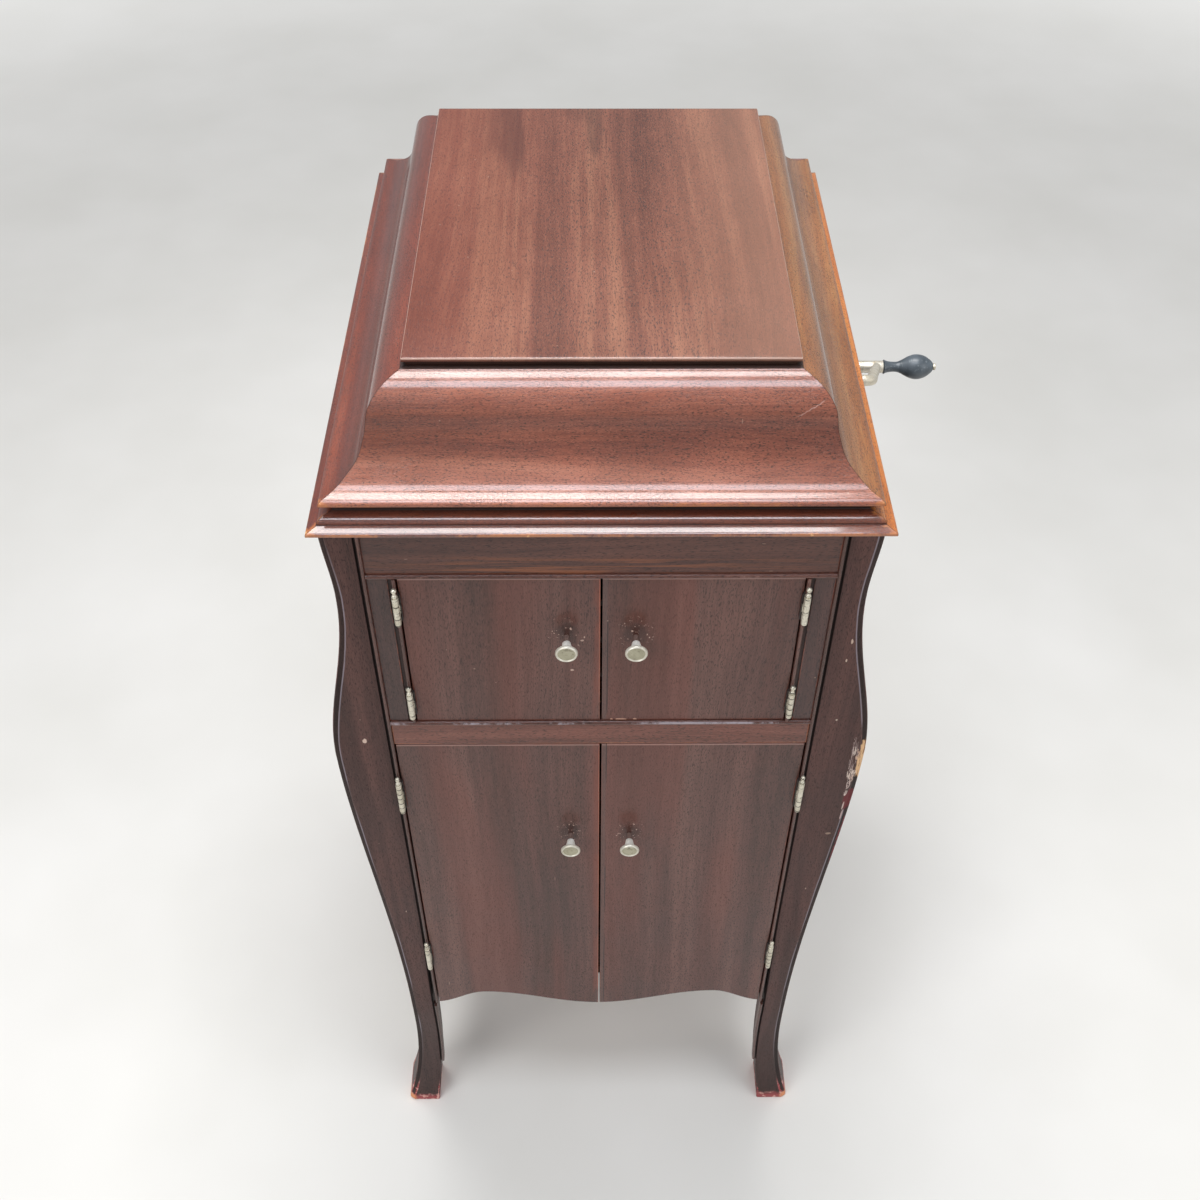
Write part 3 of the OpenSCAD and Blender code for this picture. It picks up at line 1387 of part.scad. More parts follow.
module crank_handle() {
    r = handle_r;
    l = handle_l;
    color(HANDLE)
        translate([0, front_y + crank_y, crank_z])
            rotate([-crank_down, 0, 0])
                translate([boss_x + BOSS_OUT + SLIP, crank_arm, 0])
                    rotate([0, 90, 0])
                        difference() {
                            rotate_extrude()
                                polygon(concat(
                                    [[0, 0], [7, 0], [7, 1.5], [6, 3], [NECK_R, 6]],
                                    [for (t = ramp(10)) [mix(NECK_R, r, ease(t)), mix(10, 0.65 * l, t)]],
                                    [for (t = ramp(10)) if (t > 0)
                                     [r * cos(90 * t), mix(0.65 * l, l, sin(90 * t))]]));
                            translate([0, 0, -1]) cylinder(r = PIN_R + RUN, h = l + 2);
                        }
}
module crank_escutcheon() {
    color(NICKEL)
        translate([inner_x, front_y + crank_y, crank_z])
            rotate([0, 90, 0])
                difference() {
                    union() {
                        cylinder(r = crank_r + ESCUTCHEON_SLEEVE, h = side_t + 1);
                        translate([0, 0, side_t]) cylinder(r = 17, h = 1.5);
                        translate([0, 0, side_t + 1.5]) cylinder(r1 = 12, r2 = 9, h = 3);
                    }
                    translate([0, 0, -1]) cylinder(r = crank_r + RUN, h = side_t + 8);
                }
}

post_front_left();
post_front_right();
post_rear_left();
post_rear_right();
side_panel_left();
side_panel_right();
back_panel();
bottom_board();
middle_board();
top_rail();
middle_rail();
hinge_stiles();
cock_beads();
top_moulding();
record_shelves();
cleats();
door_catches();
horn();
horn_slats();
horn_throat();
motor_board();
lid_frame();
lid_panel();
lid_hinge_leaves();
lid_hinge_seats();
lid_stay_lug();
lid_stay();
lid_stay_bracket();
upper_door_left();
upper_door_right();
lower_door_left();
lower_door_right();
upper_hinge_leaves_left();
upper_hinge_leaves_right();
lower_hinge_leaves_left();
lower_hinge_leaves_right();
case_hinge_leaves();
upper_knob_left();
upper_knob_right();
lower_knob_left();
lower_knob_right();
turntable();
turntable_felt();
turntable_spindle();
tone_arm_bracket();
tone_arm();
soundbox();
needle_cups();
speed_regulator();
brake_lever();
motor_frame();
spring_barrel();
mainspring();
winding_wheel();
train_wheel();
governor();
winding_shaft();
crank();
crank_handle();
crank_escutcheon();
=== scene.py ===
"""Finish of an upright wind-up gramophone cabinet, in metres and in the part's own frame.

The origin is the middle of the footprint on the floor, +Z is up and the doors face -Y.
"""
import json
import math

import bmesh
import bpy
from mathutils import Matrix, Vector


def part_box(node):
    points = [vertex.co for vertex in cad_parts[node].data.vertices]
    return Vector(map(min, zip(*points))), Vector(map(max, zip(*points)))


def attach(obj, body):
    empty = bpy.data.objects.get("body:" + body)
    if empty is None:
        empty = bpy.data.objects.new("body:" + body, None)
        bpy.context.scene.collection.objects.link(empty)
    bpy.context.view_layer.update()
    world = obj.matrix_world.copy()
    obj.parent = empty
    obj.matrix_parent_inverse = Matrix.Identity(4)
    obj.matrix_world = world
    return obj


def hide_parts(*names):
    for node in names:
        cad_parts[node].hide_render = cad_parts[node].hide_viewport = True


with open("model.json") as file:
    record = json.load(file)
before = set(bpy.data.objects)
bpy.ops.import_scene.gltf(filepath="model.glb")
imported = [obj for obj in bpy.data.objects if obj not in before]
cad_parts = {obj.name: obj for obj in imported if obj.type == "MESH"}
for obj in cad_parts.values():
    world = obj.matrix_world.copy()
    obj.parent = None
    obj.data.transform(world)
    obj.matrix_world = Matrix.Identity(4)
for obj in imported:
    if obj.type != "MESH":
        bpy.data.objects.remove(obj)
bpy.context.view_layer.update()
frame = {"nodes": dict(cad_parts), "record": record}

MM = 0.001
SIDES = (("left", -1), ("right", 1))

# ---------- shader arithmetic ----------


def srgb(text):
    """Linear colour of a "#rrggbb" text."""
    channels = [int(text[i:i + 2], 16) / 255 for i in (1, 3, 5)]
    linear = [c / 12.92 if c <= 0.04045 else ((c + 0.055) / 1.055) ** 2.4 for c in channels]
    return (*linear, 1.0)


def arithmetic(operation, swap=False):
    """An operator on two values that adds a Math node for them."""
    return lambda one, two: one.finish.calc(operation, *((two, one) if swap else (one, two)))


class Value:
    """A shader socket that takes part in plain arithmetic."""

    def __init__(self, finish, socket):
        self.finish = finish
        self.socket = socket

    __add__ = __radd__ = arithmetic("ADD")
    __sub__ = arithmetic("SUBTRACT")
    __rsub__ = arithmetic("SUBTRACT", swap=True)
    __mul__ = __rmul__ = arithmetic("MULTIPLY")
    __truediv__ = arithmetic("DIVIDE")

    def __abs__(self):
        return self.finish.calc("ABSOLUTE", self)


class Finish:
    """The nodes of one new material, or of a new world."""

    def __init__(self, name, kind=bpy.data.materials):
        self.owner = kind.new(name)
        self.owner.use_nodes = True
        self.tree = self.owner.node_tree

    def put(self, socket, value):
        """Feeds a socket with a link, a plain value or a "#rrggbb" colour."""
        if isinstance(value, Value):
            self.tree.links.new(value.socket, socket)
        else:
            socket.default_value = srgb(value) if isinstance(value, str) else value

    def node(self, kind, settings=None, inputs=None, out=0):
        """Any node: its type, its settings, the values or links of its sockets, and the output to use."""
        made = self.tree.nodes.new(kind)
        for key, value in (settings or {}).items():
            if key == "stops":
                ramp = made.color_ramp.elements
                ramp.remove(ramp[1])
                ramp[0].position, ramp[0].color = value[0]
                for place, colour in value[1:]:
                    ramp.new(place).color = colour
            else:
                setattr(made, key, value)
        for key, value in (inputs or {}).items():
            self.put(made.inputs[key], value)
        return Value(self, made.outputs[out])

    def calc(self, operation, *values, kind="ShaderNodeMath", out=0):
        return self.node(kind, {"operation": operation}, dict(enumerate(values)), out)

    def vector(self, operation, *values, out=0):
        return self.calc(operation, *values, kind="ShaderNodeVectorMath", out=out)

    def shade(self, **sockets):
        """Sets sockets of the material's own shader, named with _ for a space."""
        for key, value in sockets.items():
            self.put(self.tree.nodes["Principled BSDF"].inputs[key.replace("_", " ")], value)
        return self.owner

    def here(self):
        return self.node("ShaderNodeTexCoord", out="Object")

    def scaled(self, vector, scale, shift=(0, 0, 0), turn=(0, 0, 0)):
        """Coordinates stretched by one number or by three."""
        if isinstance(scale, (int, float)):
            scale = (scale, scale, scale)
        return self.node("ShaderNodeMapping", {}, {"Vector": vector, "Scale": scale,
                                                   "Location": shift, "Rotation": turn})

    def noise(self, vector, detail=2.0, rough=0.5, out=0):
        return self.node("ShaderNodeTexNoise", {}, {"Vector": vector, "Scale": 1.0, "Detail": detail,
                                                    "Roughness": rough}, out)

    def cells(self, vector, feature="F1"):
        return self.node("ShaderNodeTexVoronoi", {"feature": feature}, {"Vector": vector, "Scale": 1.0})

    def mottle(self, vector, scale, shift=(0, 0, 0), detail=2.0, rough=0.5):
        """Noise on stretched coordinates."""
        return self.noise(self.scaled(vector, scale, shift), detail, rough)

    def blotch(self, vector, scale, low, high, shift=(0, 0, 0), detail=2.0, rough=0.5):
        """Uneven patches: 0 where the noise is under low, 1 where it is over high."""
        return self.step(self.mottle(vector, scale, shift, detail, rough), low, high)

    def step(self, value, low, high):
        """0 under low, 1 over high, smooth between them."""
        return self.node("ShaderNodeMapRange", {"interpolation_type": "SMOOTHSTEP"},
                         {"Value": value, "From Min": low, "From Max": high})

    def ramp(self, value, *stops):
        return self.node("ShaderNodeValToRGB", {"stops": [(p, srgb(c)) for p, c in stops]}, {0: value})

    def blend(self, share, under, over, how="MIX"):
        return self.node("ShaderNodeMix", {"data_type": "RGBA", "blend_type": how},
                         {"Factor": share, 6: under, 7: over}, out=2)

    def parts(self, vector):
        """The three coordinates of a vector."""
        return [self.node("ShaderNodeSeparateXYZ", {}, {0: vector}, out=i) for i in range(3)]

    def spot(self, here, centre, reach, ragged=0.5, grain=260):
        """1 inside an uneven patch round a point, 0 outside; reach is its half size in x, y and z."""
        away = self.vector("DIVIDE", self.vector("SUBTRACT", here, centre), reach)
        length = self.vector("LENGTH", away, out="Value")
        edge = self.noise(self.scaled(here, (grain, grain, grain * 0.3)), 2.0, 0.6)
        return 1 - self.step(length + (edge - 0.5) * 2 * ragged, 0.8, 1.0)

    def mark(self, name):
        """A value painted on the piece's own points."""
        return self.node("ShaderNodeAttribute", {"attribute_name": name}, out="Fac")

    def bump(self, height, depth):
        return self.node("ShaderNodeBump", {}, {"Height": height, "Distance": depth})


# ---------- wood ----------

# Dark, middle and light tone of each wood's grain
POST_TONES = ("#38211c", "#4d302b", "#624039")
RAIL_TONES = ("#3a201a", "#502e26", "#653e33")
MIDDLE_TONES = ("#5b3226", "#7a473a", "#8f5a4a")
DOOR_TONES = ("#452920", "#5d3a32", "#734e44")
PANEL_TONES = ("#582e20", "#734231", "#916048")
OGEE_TONES = ("#683428", "#92533e", "#b07057")
# The right-hand rails' orange tones and the left-hand rails' darker red ones are partly the wood's own uneven
# colour and partly painted light and shade: lighter on the right, darker on the left
RIGHT_TONES = ("#8f4a1a", "#bb6a2a", "#dc8f42")
LID_RIGHT_TONES = ("#734122", "#955d34", "#b07e4b")
LEFT_TONES = ("#582215", "#733322", "#8e4831")
MOULDING_TONES = ("#5a2a1f", "#7c4331", "#9a5d46")
INNER_TONES = ("#6a4533", "#886049", "#a1785b")


def varnished(name, tones, grain, seed, gloss=0.36, coat=0.35, polish=0.2, pores=0.6, fineness=1.0,
              crackle=0.0, figure=1.0, shine=0.3, rubbed="#8a4b38", bare="#b98a68", wear=1.0, nicked=1.0,
              extra=None):
    """Varnished mahogany whose grain runs along an axis of the part; extra adds the marks of one piece,
    some of them painted light and shade.
    """
    f = Finish(name)
    here = f.here()
    axis = "xyz".index(grain)

    def grained(across, along, shift=0.0):
        scale = [across] * 3
        scale[axis] = along
        return f.scaled(wandering, scale, (seed + shift, seed * 1.7 + 3 + shift, seed * 2.3 + 5))

    slow = [7.0] * 3
    slow[axis] = 1.6
    drift = f.noise(f.scaled(here, slow, (seed, 0, seed)), 1.0, out=1)
    drift = f.vector("SUBTRACT", drift, (0.5, 0.5, 0.5))
    wandering = f.vector("MULTIPLY_ADD", drift, (0.05, 0.05, 0.05), here)

    bands = f.step(f.noise(grained(24, 1.0), 2.0), 0.34, 0.68)
    stripes = f.step(f.noise(grained(120, 3.2), 3.0), 0.32, 0.70)
    fibre = f.step(f.noise(grained(900, 26), 2.0), 0.3, 0.7)
    flecks = f.step(f.noise(grained(1350 * fineness, 270 * fineness ** 2), 1.0), 0.55, 0.66)
    dashes = f.step(f.noise(grained(1100 * fineness, 230 * fineness ** 2, 11), 1.0), 0.55, 0.68)
    tone = (bands * 0.46 + stripes * 0.26) * figure + fibre * 0.20 + (1 - figure) * 0.36 + 0.04
    colour = f.ramp(tone, (0.08, tones[0]), (0.5, tones[1]), (0.92, tones[2]))
    colour = f.blend(dashes * pores * 0.45, colour, tones[2])
    colour = f.blend(flecks * pores, colour, "#1d0f0c")

    cloud = f.blotch(here, 9, 0.3, 0.75, (seed * 3, 1, 2), 3.0, 0.6)
    colour = f.blend(0.30, colour, f.ramp(cloud, (0.0, "#a39a98"), (1.0, "#ffffff")), "MULTIPLY")

    height = 0.55 - flecks * 0.45 * pores + fibre * 0.10
    peel = f.mottle(here, 420)
    height = height + peel * 0.22
    if crackle:
        cracks = 1 - f.step(f.cells(grained(520, 300), "DISTANCE_TO_EDGE"), 0.0, 0.07)
        cracks = cracks * f.blotch(here, 16, 0.4, 0.62, (seed, 4, 4))
        colour = f.blend(cracks * 0.35 * crackle, colour, "#2a1712")
        height = height - cracks * 0.6 * crackle

    # small pale nicks and short scratches
    dots = 1 - f.step(f.cells(f.scaled(here, (52, 52, 52), (seed, seed, 2))), 0.03, 0.05)
    nick_place = f.mottle(here, 6, (seed, 9, 1), 1.0)
    nicks = dots * f.step(nick_place, 0.52, 0.58)
    lines = 1 - f.step(f.cells(f.scaled(here, (80, 80, 10), (seed, 5, 8), (0.35, 0.25, 0.2))), 0.03, 0.045)
    nicks = nicks + lines * (1 - f.step(nick_place, 0.38, 0.43))
    colour = f.blend(nicks * 0.5 * nicked, colour, "#a98a76")

    # edges: rubbed through the colour, and chipped to the bare wood where it is worst
    worn = f.mark("worn") * wear
    ragged = f.mottle(here, (260, 260, 150), (seed, 2, 7), 3.0, 0.6) - 0.5
    patches = f.mottle(here, (22, 22, 11), (seed, 6, 4)) - 0.5
    edge = worn + ragged * 0.6 + patches
    rub = f.step(edge, 0.92, 1.16)
    chip = f.step(edge + ragged * 0.5, 1.34, 1.42)
    colour = f.blend(rub * 0.72, colour, rubbed)
    colour = f.blend(chip * 0.85, colour, bare)
    # grime: dark joints at the mitres, and painted shade in rebates, quirks, grooves, chamfers and the gap
    # under the lid
    dirt_and_shade = f.mark("grime")
    colour = f.blend(dirt_and_shade * 0.9, colour, "#0f0807")
    rough = gloss + cloud * 0.10 + flecks * 0.10 + rub * 0.10 + chip * 0.2 + dirt_and_shade * 0.3
    height = height - chip * 0.6

    if extra:
        colour, rough, height = extra(f, here, colour, rough, height)
    return f.shade(Base_Color=colour, Roughness=rough, Normal=f.bump(height, 0.0002),
                   Specular_IOR_Level=shine, Coat_Weight=coat * (1 - dirt_and_shade * 0.9), Coat_Roughness=polish)


# Planes on which the chips of the doors and the posts lie, and how deep a chip reaches from them
DOOR_MARKS_Y, POST_MARKS_Y = -0.251, -0.252
MARK_DEEP = 20 * MM
# Chips round the upper knobs: x, height and half sizes
DOOR_CHIPS = ((-24.4, 853, 0.9, 1.6), (-15.2, 839, 1.4, 1.2), (-13.4, 843, 0.6, 1.2), (-23.5, 803, 1.6, 1.1),
              (24.7, 850, 1.1, 1.0), (36.6, 846, 0.5, 1.2), (38.4, 842.5, 0.6, 1.3), (4.9, 862, 0.7, 0.8))


def door_marks(f, here, colour, rough, height):
    """Redder upright zones, dirt round the knobs, a painted highlight along each door's top edge and a worn
    free edge.
    """
    x, _, z = f.parts(here)
    zones = f.blotch(here, (17, 17, 1.2), 0.46, 0.62, (5, 0, 2))
    colour = f.blend(zones * 0.34, colour, "#73382a")
    for level in KNOB_LEVELS:
        sideways = (abs(x) - KNOB_X) / (11 * MM)
        upwards = (z - level - 3 * MM) / (15 * MM)
        away = sideways * sideways + upwards * upwards + (f.mottle(here, 90) - 0.5) * 1.6
        halo = 1 - f.step(away, 0.1, 1.3)
        colour = f.blend(halo * 0.5, colour, "#1f1310")
        specks = f.blotch(here, 430, 0.635, 0.66, (1, level * 9, 3), 3.0, 0.7)
        colour = f.blend(specks * (1 - f.step(away, 0.8, 2.8)) * 0.85, colour, "#c9a595")
        rough = rough + halo * 0.12
    # a pale line along each door's top edge: a painted highlight on its rounded arris
    for top in DOOR_TOPS:
        line = f.step(z, top - 1.6 * MM, top - 0.9 * MM) * (1 - f.step(z, top + 1 * MM, top + 2 * MM))
        colour = f.blend(line * 0.65, colour, "#a07d74")
    free = f.step(x, -8 * MM, -4 * MM) * (1 - f.step(x, -0.5 * MM, 0.5 * MM))
    mottle = f.blotch(here, (90, 90, 18), 0.35, 0.6, (8, 0, 1), 3.0)
    colour = f.blend(free * mottle * 0.5, colour, "#7c3a28")
    rim = free * f.step(x, -2.0 * MM, -1.5 * MM) * (0.4 + mottle * 0.6)
    colour = f.blend(rim * 0.7, colour, "#a1614a")
    for across, level, wide, high in DOOR_CHIPS:
        chip = f.spot(here, (across * MM, DOOR_MARKS_Y, level * MM), (wide * MM, MARK_DEEP, high * MM),
                      0.7, 500)
        colour = f.blend(chip * 0.85, colour, "#c2a393")
        height = height - chip * 0.6
    return colour, rough, height


def door_strip(f, here, colour, rough, height):
    """A greyer strip beside the middle gap of a right-hand door, set off by a scratched line."""
    colour, rough, height = door_marks(f, here, colour, rough, height)
    x = f.parts(here)[0]
    ragged = f.mottle(here, (300, 60, 25)) - 0.5
    line = 1 - f.step(abs(x - 5.2 * MM + ragged * 0.6 * MM), 0.25 * MM, 0.6 * MM)
    gaps = f.blotch(here, (3, 3, 14), 0.36, 0.46, (2, 0, 0), 1.0)
    strip = 1 - f.step(x, 4.4 * MM, 5.2 * MM)
    colour = f.blend(strip * 0.35, colour, "#5c504c")
    colour = f.blend(line * gaps * 0.8, colour, "#1c1110")
    for centre, half in ((17, 5), (29, 1.6), (9, 1.2)):
        chip = f.spot(here, (centre * MM, DOOR_MARKS_Y, DOOR_FOOT + 0.8 * MM),
                      (half * MM, MARK_DEEP, 1.5 * MM), 0.6)
        colour = f.blend(chip * 0.9, colour, "#b98d78")
    return colour, rough + strip * 0.08, height - line * gaps * 0.7


def top_rail_marks(f, here, colour, rough, height):
    """Orange streaks along the middle of the rail's lower half, under a few pale scratches."""
    x, _, z = f.parts(here)
    low = 1 - f.step(z, RAIL_FOOT + 10 * MM, RAIL_FOOT + 24 * MM)
    streaks = f.blotch(here, (8, 8, 260), 0.44, 0.62, (3, 0, 1), 3.0, 0.6)
    middle = 1 - f.step(abs(x), 0.06, 0.17)
    colour = f.blend(streaks * low * (0.25 + middle * 0.75) * 0.6, colour, "#93542f")
    thin = 1 - f.step(f.cells(f.scaled(here, (26, 26, 150), (7, 5, 8), (0, 0.55, 0))), 0.03, 0.05)
    colour = f.blend(thin * 0.6, colour, "#b08d77")
    return colour, rough, height


def plain_wood(name, grain, seed):
    """Unvarnished wood inside the case."""
    return varnished(name, INNER_TONES, grain, seed, gloss=0.62, coat=0.0, pores=0.5, rubbed="#a88660",
                     bare="#b8966c", wear=0.4)


# ---------- metals, felt and lacquer ----------

DOOR_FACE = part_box("upper_door_right")[0].y
BARREL_R = 2.65 * MM
BARREL_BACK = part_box("case_hinge_leaves")[0].y + 2 * BARREL_R
UPPER_HINGE_X, LOWER_HINGE_X = (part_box(name)[1].x - BARREL_R for name in
                                ("upper_hinge_leaves_right", "lower_hinge_leaves_right"))
HINGE_SPLIT = 0.7          # height between the lower and the upper doors' hinges
KNUCKLE_H = 7 * MM


def metal(name, colour, dull, rough=0.24, spots=0.5, metallic=1.0, spot_tone="#5a5040", back=None,
          shadow="#2c1f1c", hinge=False):
    """Worn metal with cloudy tarnish and small spots, and painted shade behind y = back; a hinge gets painted
    shade beside its barrel and dark joints between its knuckles."""
    f = Finish(name)
    here = f.here()
    cloud = f.blotch(here, 60, 0.35, 0.7, detail=3.0, rough=0.6)
    specks = f.blotch(here, 900, 0.60, 0.72)
    freckles = f.blotch(here, 240, 0.56, 0.70, (3, 1, 2), 3.0)
    tone = f.blend(cloud * 0.7, colour, dull)
    tone = f.blend((specks * 0.4 + freckles * 0.6) * spots, tone, spot_tone)
    if hinge:
        x, _, z = f.parts(here)
        share = f.calc("FRACT", z / KNUCKLE_H)
        joint = (1 - f.step(abs(share - 0.5), 0.05, 0.11)) * f.step(freckles + cloud, 0.05, 0.4)
        axis = LOWER_HINGE_X - f.step(z, HINGE_SPLIT - 1 * MM, HINGE_SPLIT) * (LOWER_HINGE_X - UPPER_HINGE_X)
        # painted shade on the hinge leaves beside the barrel
        beside = f.step(abs(abs(x) - axis), BARREL_R, BARREL_R + 0.2 * MM)
        tone = f.blend(joint * 0.85, tone, "#2a2420")
        tone = f.blend(beside * 0.9, tone, "#241d1a")
    if back is not None:
        # painted shade behind y = back
        shade_behind = f.step(f.parts(here)[1], back - 0.5 * MM, back + 0.3 * MM)
        tone = f.blend(shade_behind * 0.95, tone, shadow)
        metallic = metallic - shade_behind * metallic * 0.8
    rub = f.mottle(here, 1500, detail=1.0)
    return f.shade(Base_Color=tone, Metallic=metallic - freckles * 0.3 * spots,
                   Roughness=rough + cloud * 0.12 + freckles * 0.2 * spots,
                   Normal=f.bump(rub * 0.3 + specks, 0.00004))


def baize():
    f = Finish("green_baize")
    here = f.here()
    nap = f.mottle(here, 1800, detail=3.0, rough=0.7)
    worn = f.blotch(here, 14, 0.4, 0.7, detail=3.0)
    tone = f.ramp(nap, (0.3, "#1d3b28"), (0.7, "#3f6f4c"))
    tone = f.blend(worn * 0.3, tone, "#6c7a56")
    return f.shade(Base_Color=tone, Roughness=0.95, Normal=f.bump(nap, 0.0004), Sheen_Weight=0.5)


def lacquer():
    """Blue-black handle lacquer, rubbed on its bulb."""
    f = Finish("black_lacquer")
    here = f.here()
    cloud = f.blotch(here, 70, 0.35, 0.7, detail=3.0)
    scuffs = f.blotch(here, (500, 120, 500), 0.60, 0.68, (4, 4, 4), 3.0)
    tone = f.blend(cloud * 0.7, "#42494f", "#5b646b")
    tone = f.blend(scuffs * 0.5, tone, "#7c8488")
    return f.shade(Base_Color=tone, Roughness=0.36 + cloud * 0.1 + scuffs * 0.2, Coat_Weight=0.25,
                   Coat_Roughness=0.25, Normal=f.bump(scuffs * 0.4 + cloud * 0.2, 0.0001))


nickel = metal("aged_nickel", "#cfc8b6", "#a69e8a", spots=0.55)
face_nickel = metal("dull_knob_face", "#b5b09a", "#97927c", rough=0.42, spots=0.8, metallic=0.75)
iron = metal("painted_iron", "#2c2b29", "#3a3836", rough=0.5, spots=0.4, metallic=0.35, spot_tone="#4a3426")
steel = metal("oiled_steel", "#9d9c99", "#7c7b78", rough=0.3, spots=0.4)
brass = metal("aged_brass", "#b79552", "#8f713b", rough=0.3, spots=0.5)
felt = baize()
handle_lacquer = lacquer()

# The hinge leaves get painted shade beside and behind the barrel, where they sit in the doors' gap
hinge_nickel = metal("hinge_nickel", "#dcd6c6", "#c0b8a2", rough=0.40, spots=0.3, metallic=0.8,
                     back=BARREL_BACK, hinge=True)
crank_nickel = metal("crank_nickel", "#e2dbcb", "#c4b9a2", rough=0.42, spots=0.75, metallic=0.75,
                     spot_tone="#9c875c")
knob_nickel = metal("knob_nickel", "#dcd7c9", "#c3bcaa", rough=0.40, spots=0.3, metallic=0.55)
# The stem's root by the door is darkened towards the door's tone: painted shade and a painted reflection of
# the dark door
stem_nickel = metal("stem_nickel", "#f1eee6", "#dcd8cc", rough=0.42, spots=0.3, metallic=0.25,
                    back=DOOR_FACE - 6.9 * MM, shadow="#5c4038")

KNOB_X = 27.5 * MM
KNOB_LEVELS = [sum(corner.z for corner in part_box(f"{row}_knob_left")) / 2 for row in ("upper", "lower")]
DOOR_TOPS = [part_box(f"{row}_door_left")[1].z for row in ("upper", "lower")]
DOOR_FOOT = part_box("upper_door_left")[0].z
RAIL_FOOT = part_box("top_rail")[0].z

case_z = varnished("case_upright", RAIL_TONES, "z", 1.0)
case_x = varnished("case_level", RAIL_TONES, "x", 2.0)
top_x = varnished("top_rail_level", RAIL_TONES, "x", 2.3, extra=top_rail_marks)
middle_x = varnished("middle_rail_level", MIDDLE_TONES, "x", 2.6, rubbed="#9a5a3c", wear=1.1)
stile_z = varnished("stile_upright", POST_TONES, "z", 3.0)
door_z = varnished("door_upright", DOOR_TONES, "z", 4.0, gloss=0.4, rubbed="#8d4a35", extra=door_marks)
door_strip_z = varnished("door_upright_strip", DOOR_TONES, "z", 5.5, gloss=0.4, extra=door_strip)
inner_z = plain_wood("inner_upright", "z", 7.0)
inner_x = plain_wood("inner_level", "x", 8.0)
inner_y = plain_wood("inner_deep", "y", 9.0)

# ---------- meshes ----------

MERGE = 1e-6
SHARP = math.radians(38)           # faces that meet at more than this keep a crisp edge
ROUND_FROM = math.radians(28)      # edges sharper than this are rounded
IN_LINE = math.radians(2)          # faces closer than this are merged to one flat


def added(name, data):
    """A new object in the scene."""
    obj = bpy.data.objects.new(name, data)
    bpy.context.scene.collection.objects.link(obj)
    return obj


def finished(obj, material):
    obj.data.materials.clear()
    obj.data.materials.append(material)


def lofted(name, rings, material, body, *nodes, marks=None):
    """A closed shell over rings of as many points, which rides a body in place of CAD nodes.

    marks are its points' values, by name.
    """
    count = len(rings[0])
    last = len(rings) - 1
    faces = [(r * count + i, r * count + (i + 1) % count, (r + 1) * count + (i + 1) % count,
              (r + 1) * count + i) for r in range(last) for i in range(count)]
    faces += [tuple(range(count - 1, -1, -1)), tuple(range(last * count, (last + 1) * count))]
    mesh = bpy.data.meshes.new(name)
    mesh.from_pydata([tuple(p) for ring in rings for p in ring], [], faces)
    for mark, values in (marks or {}).items():
        mesh.attributes.new(mark, "FLOAT", "POINT").data.foreach_set("value", values)
    work = bmesh.new()
    work.from_mesh(mesh)
    bmesh.ops.remove_doubles(work, verts=work.verts, dist=MERGE)
    bmesh.ops.recalc_face_normals(work, faces=work.faces)
    work.to_mesh(mesh)
    work.free()
    mesh.shade_smooth()
    placed(name, mesh, material, body, *nodes)


def placed(name, mesh, material, body, *nodes):
    mesh.set_sharp_from_angle(angle=SHARP)
    obj = added(name, mesh)
    finished(obj, material)
    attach(obj, body)
    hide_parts(*nodes)


slots = {part["node"]: part["material_slot"] for part in frame["record"]["subparts"]}
bodies = {node: body for body, nodes in frame["record"]["behaviour"]["bodies"].items() for node in nodes}


def softened(node, width, material, band=0.0, segments=3):
    """A merged copy of a CAD node with its sharp edges rounded, and worn painted on its edges."""
    mesh = bpy.data.meshes.new(node + "_soft")
    work = bmesh.new()
    work.from_mesh(frame["nodes"][node].data)
    bmesh.ops.remove_doubles(work, verts=work.verts, dist=MERGE)
    bmesh.ops.dissolve_limit(work, angle_limit=IN_LINE, verts=work.verts, edges=work.edges)
    sharp = [e for e in work.edges if len(e.link_faces) == 2 and e.calc_face_angle() > ROUND_FROM]
    rounded = set(bmesh.ops.bevel(work, geom=sharp, offset=width, segments=segments, profile=0.6,
                                  affect="EDGES", clamp_overlap=True)["faces"])
    middle = set()
    if band:
        for flat in flats(work):
            around = sum(e.calc_length() for e in rim_edges(flat))
            if 2 * sum(f.calc_area() for f in flat) > 1.5 * band * around:
                bmesh.ops.inset_region(work, faces=flat, thickness=band, use_even_offset=True,
                                       use_boundary=True)
                middle.update(v for f in flat for v in f.verts)
                refilled(work, flat)
    values = [0.0 if v in middle else 1.0 for v in work.verts]
    bmesh.ops.triangulate(work, faces=[f for f in work.faces if len(f.verts) > 4])
    bmesh.ops.recalc_face_normals(work, faces=work.faces)
    for face in work.faces:
        face.smooth = face in rounded or any(
            math.radians(0.5) < edge.calc_face_angle(0.0) < math.radians(15) for edge in face.edges)
    work.to_mesh(mesh)
    work.free()
    mesh.attributes.new("worn", "FLOAT", "POINT").data.foreach_set("value", values)
    placed(node + "_soft", mesh, material, bodies[node], node)


def rim_edges(flat):
    """The edges round a set of faces and round its holes."""
    own = set(flat)
    return [e for f in flat for e in f.edges if sum(g in own for g in e.link_faces) == 1]


def refilled(work, flat):
    """Fills a flat again from its own outline and its holes."""
    if len(flat) == 1 and len(flat[0].verts) <= 4:
        return
    rim = rim_edges(flat)
    normal = flat[0].normal.copy()
    bmesh.ops.delete(work, geom=flat, context="FACES")
    bmesh.ops.triangle_fill(work, edges=rim, use_beauty=True, normal=normal)


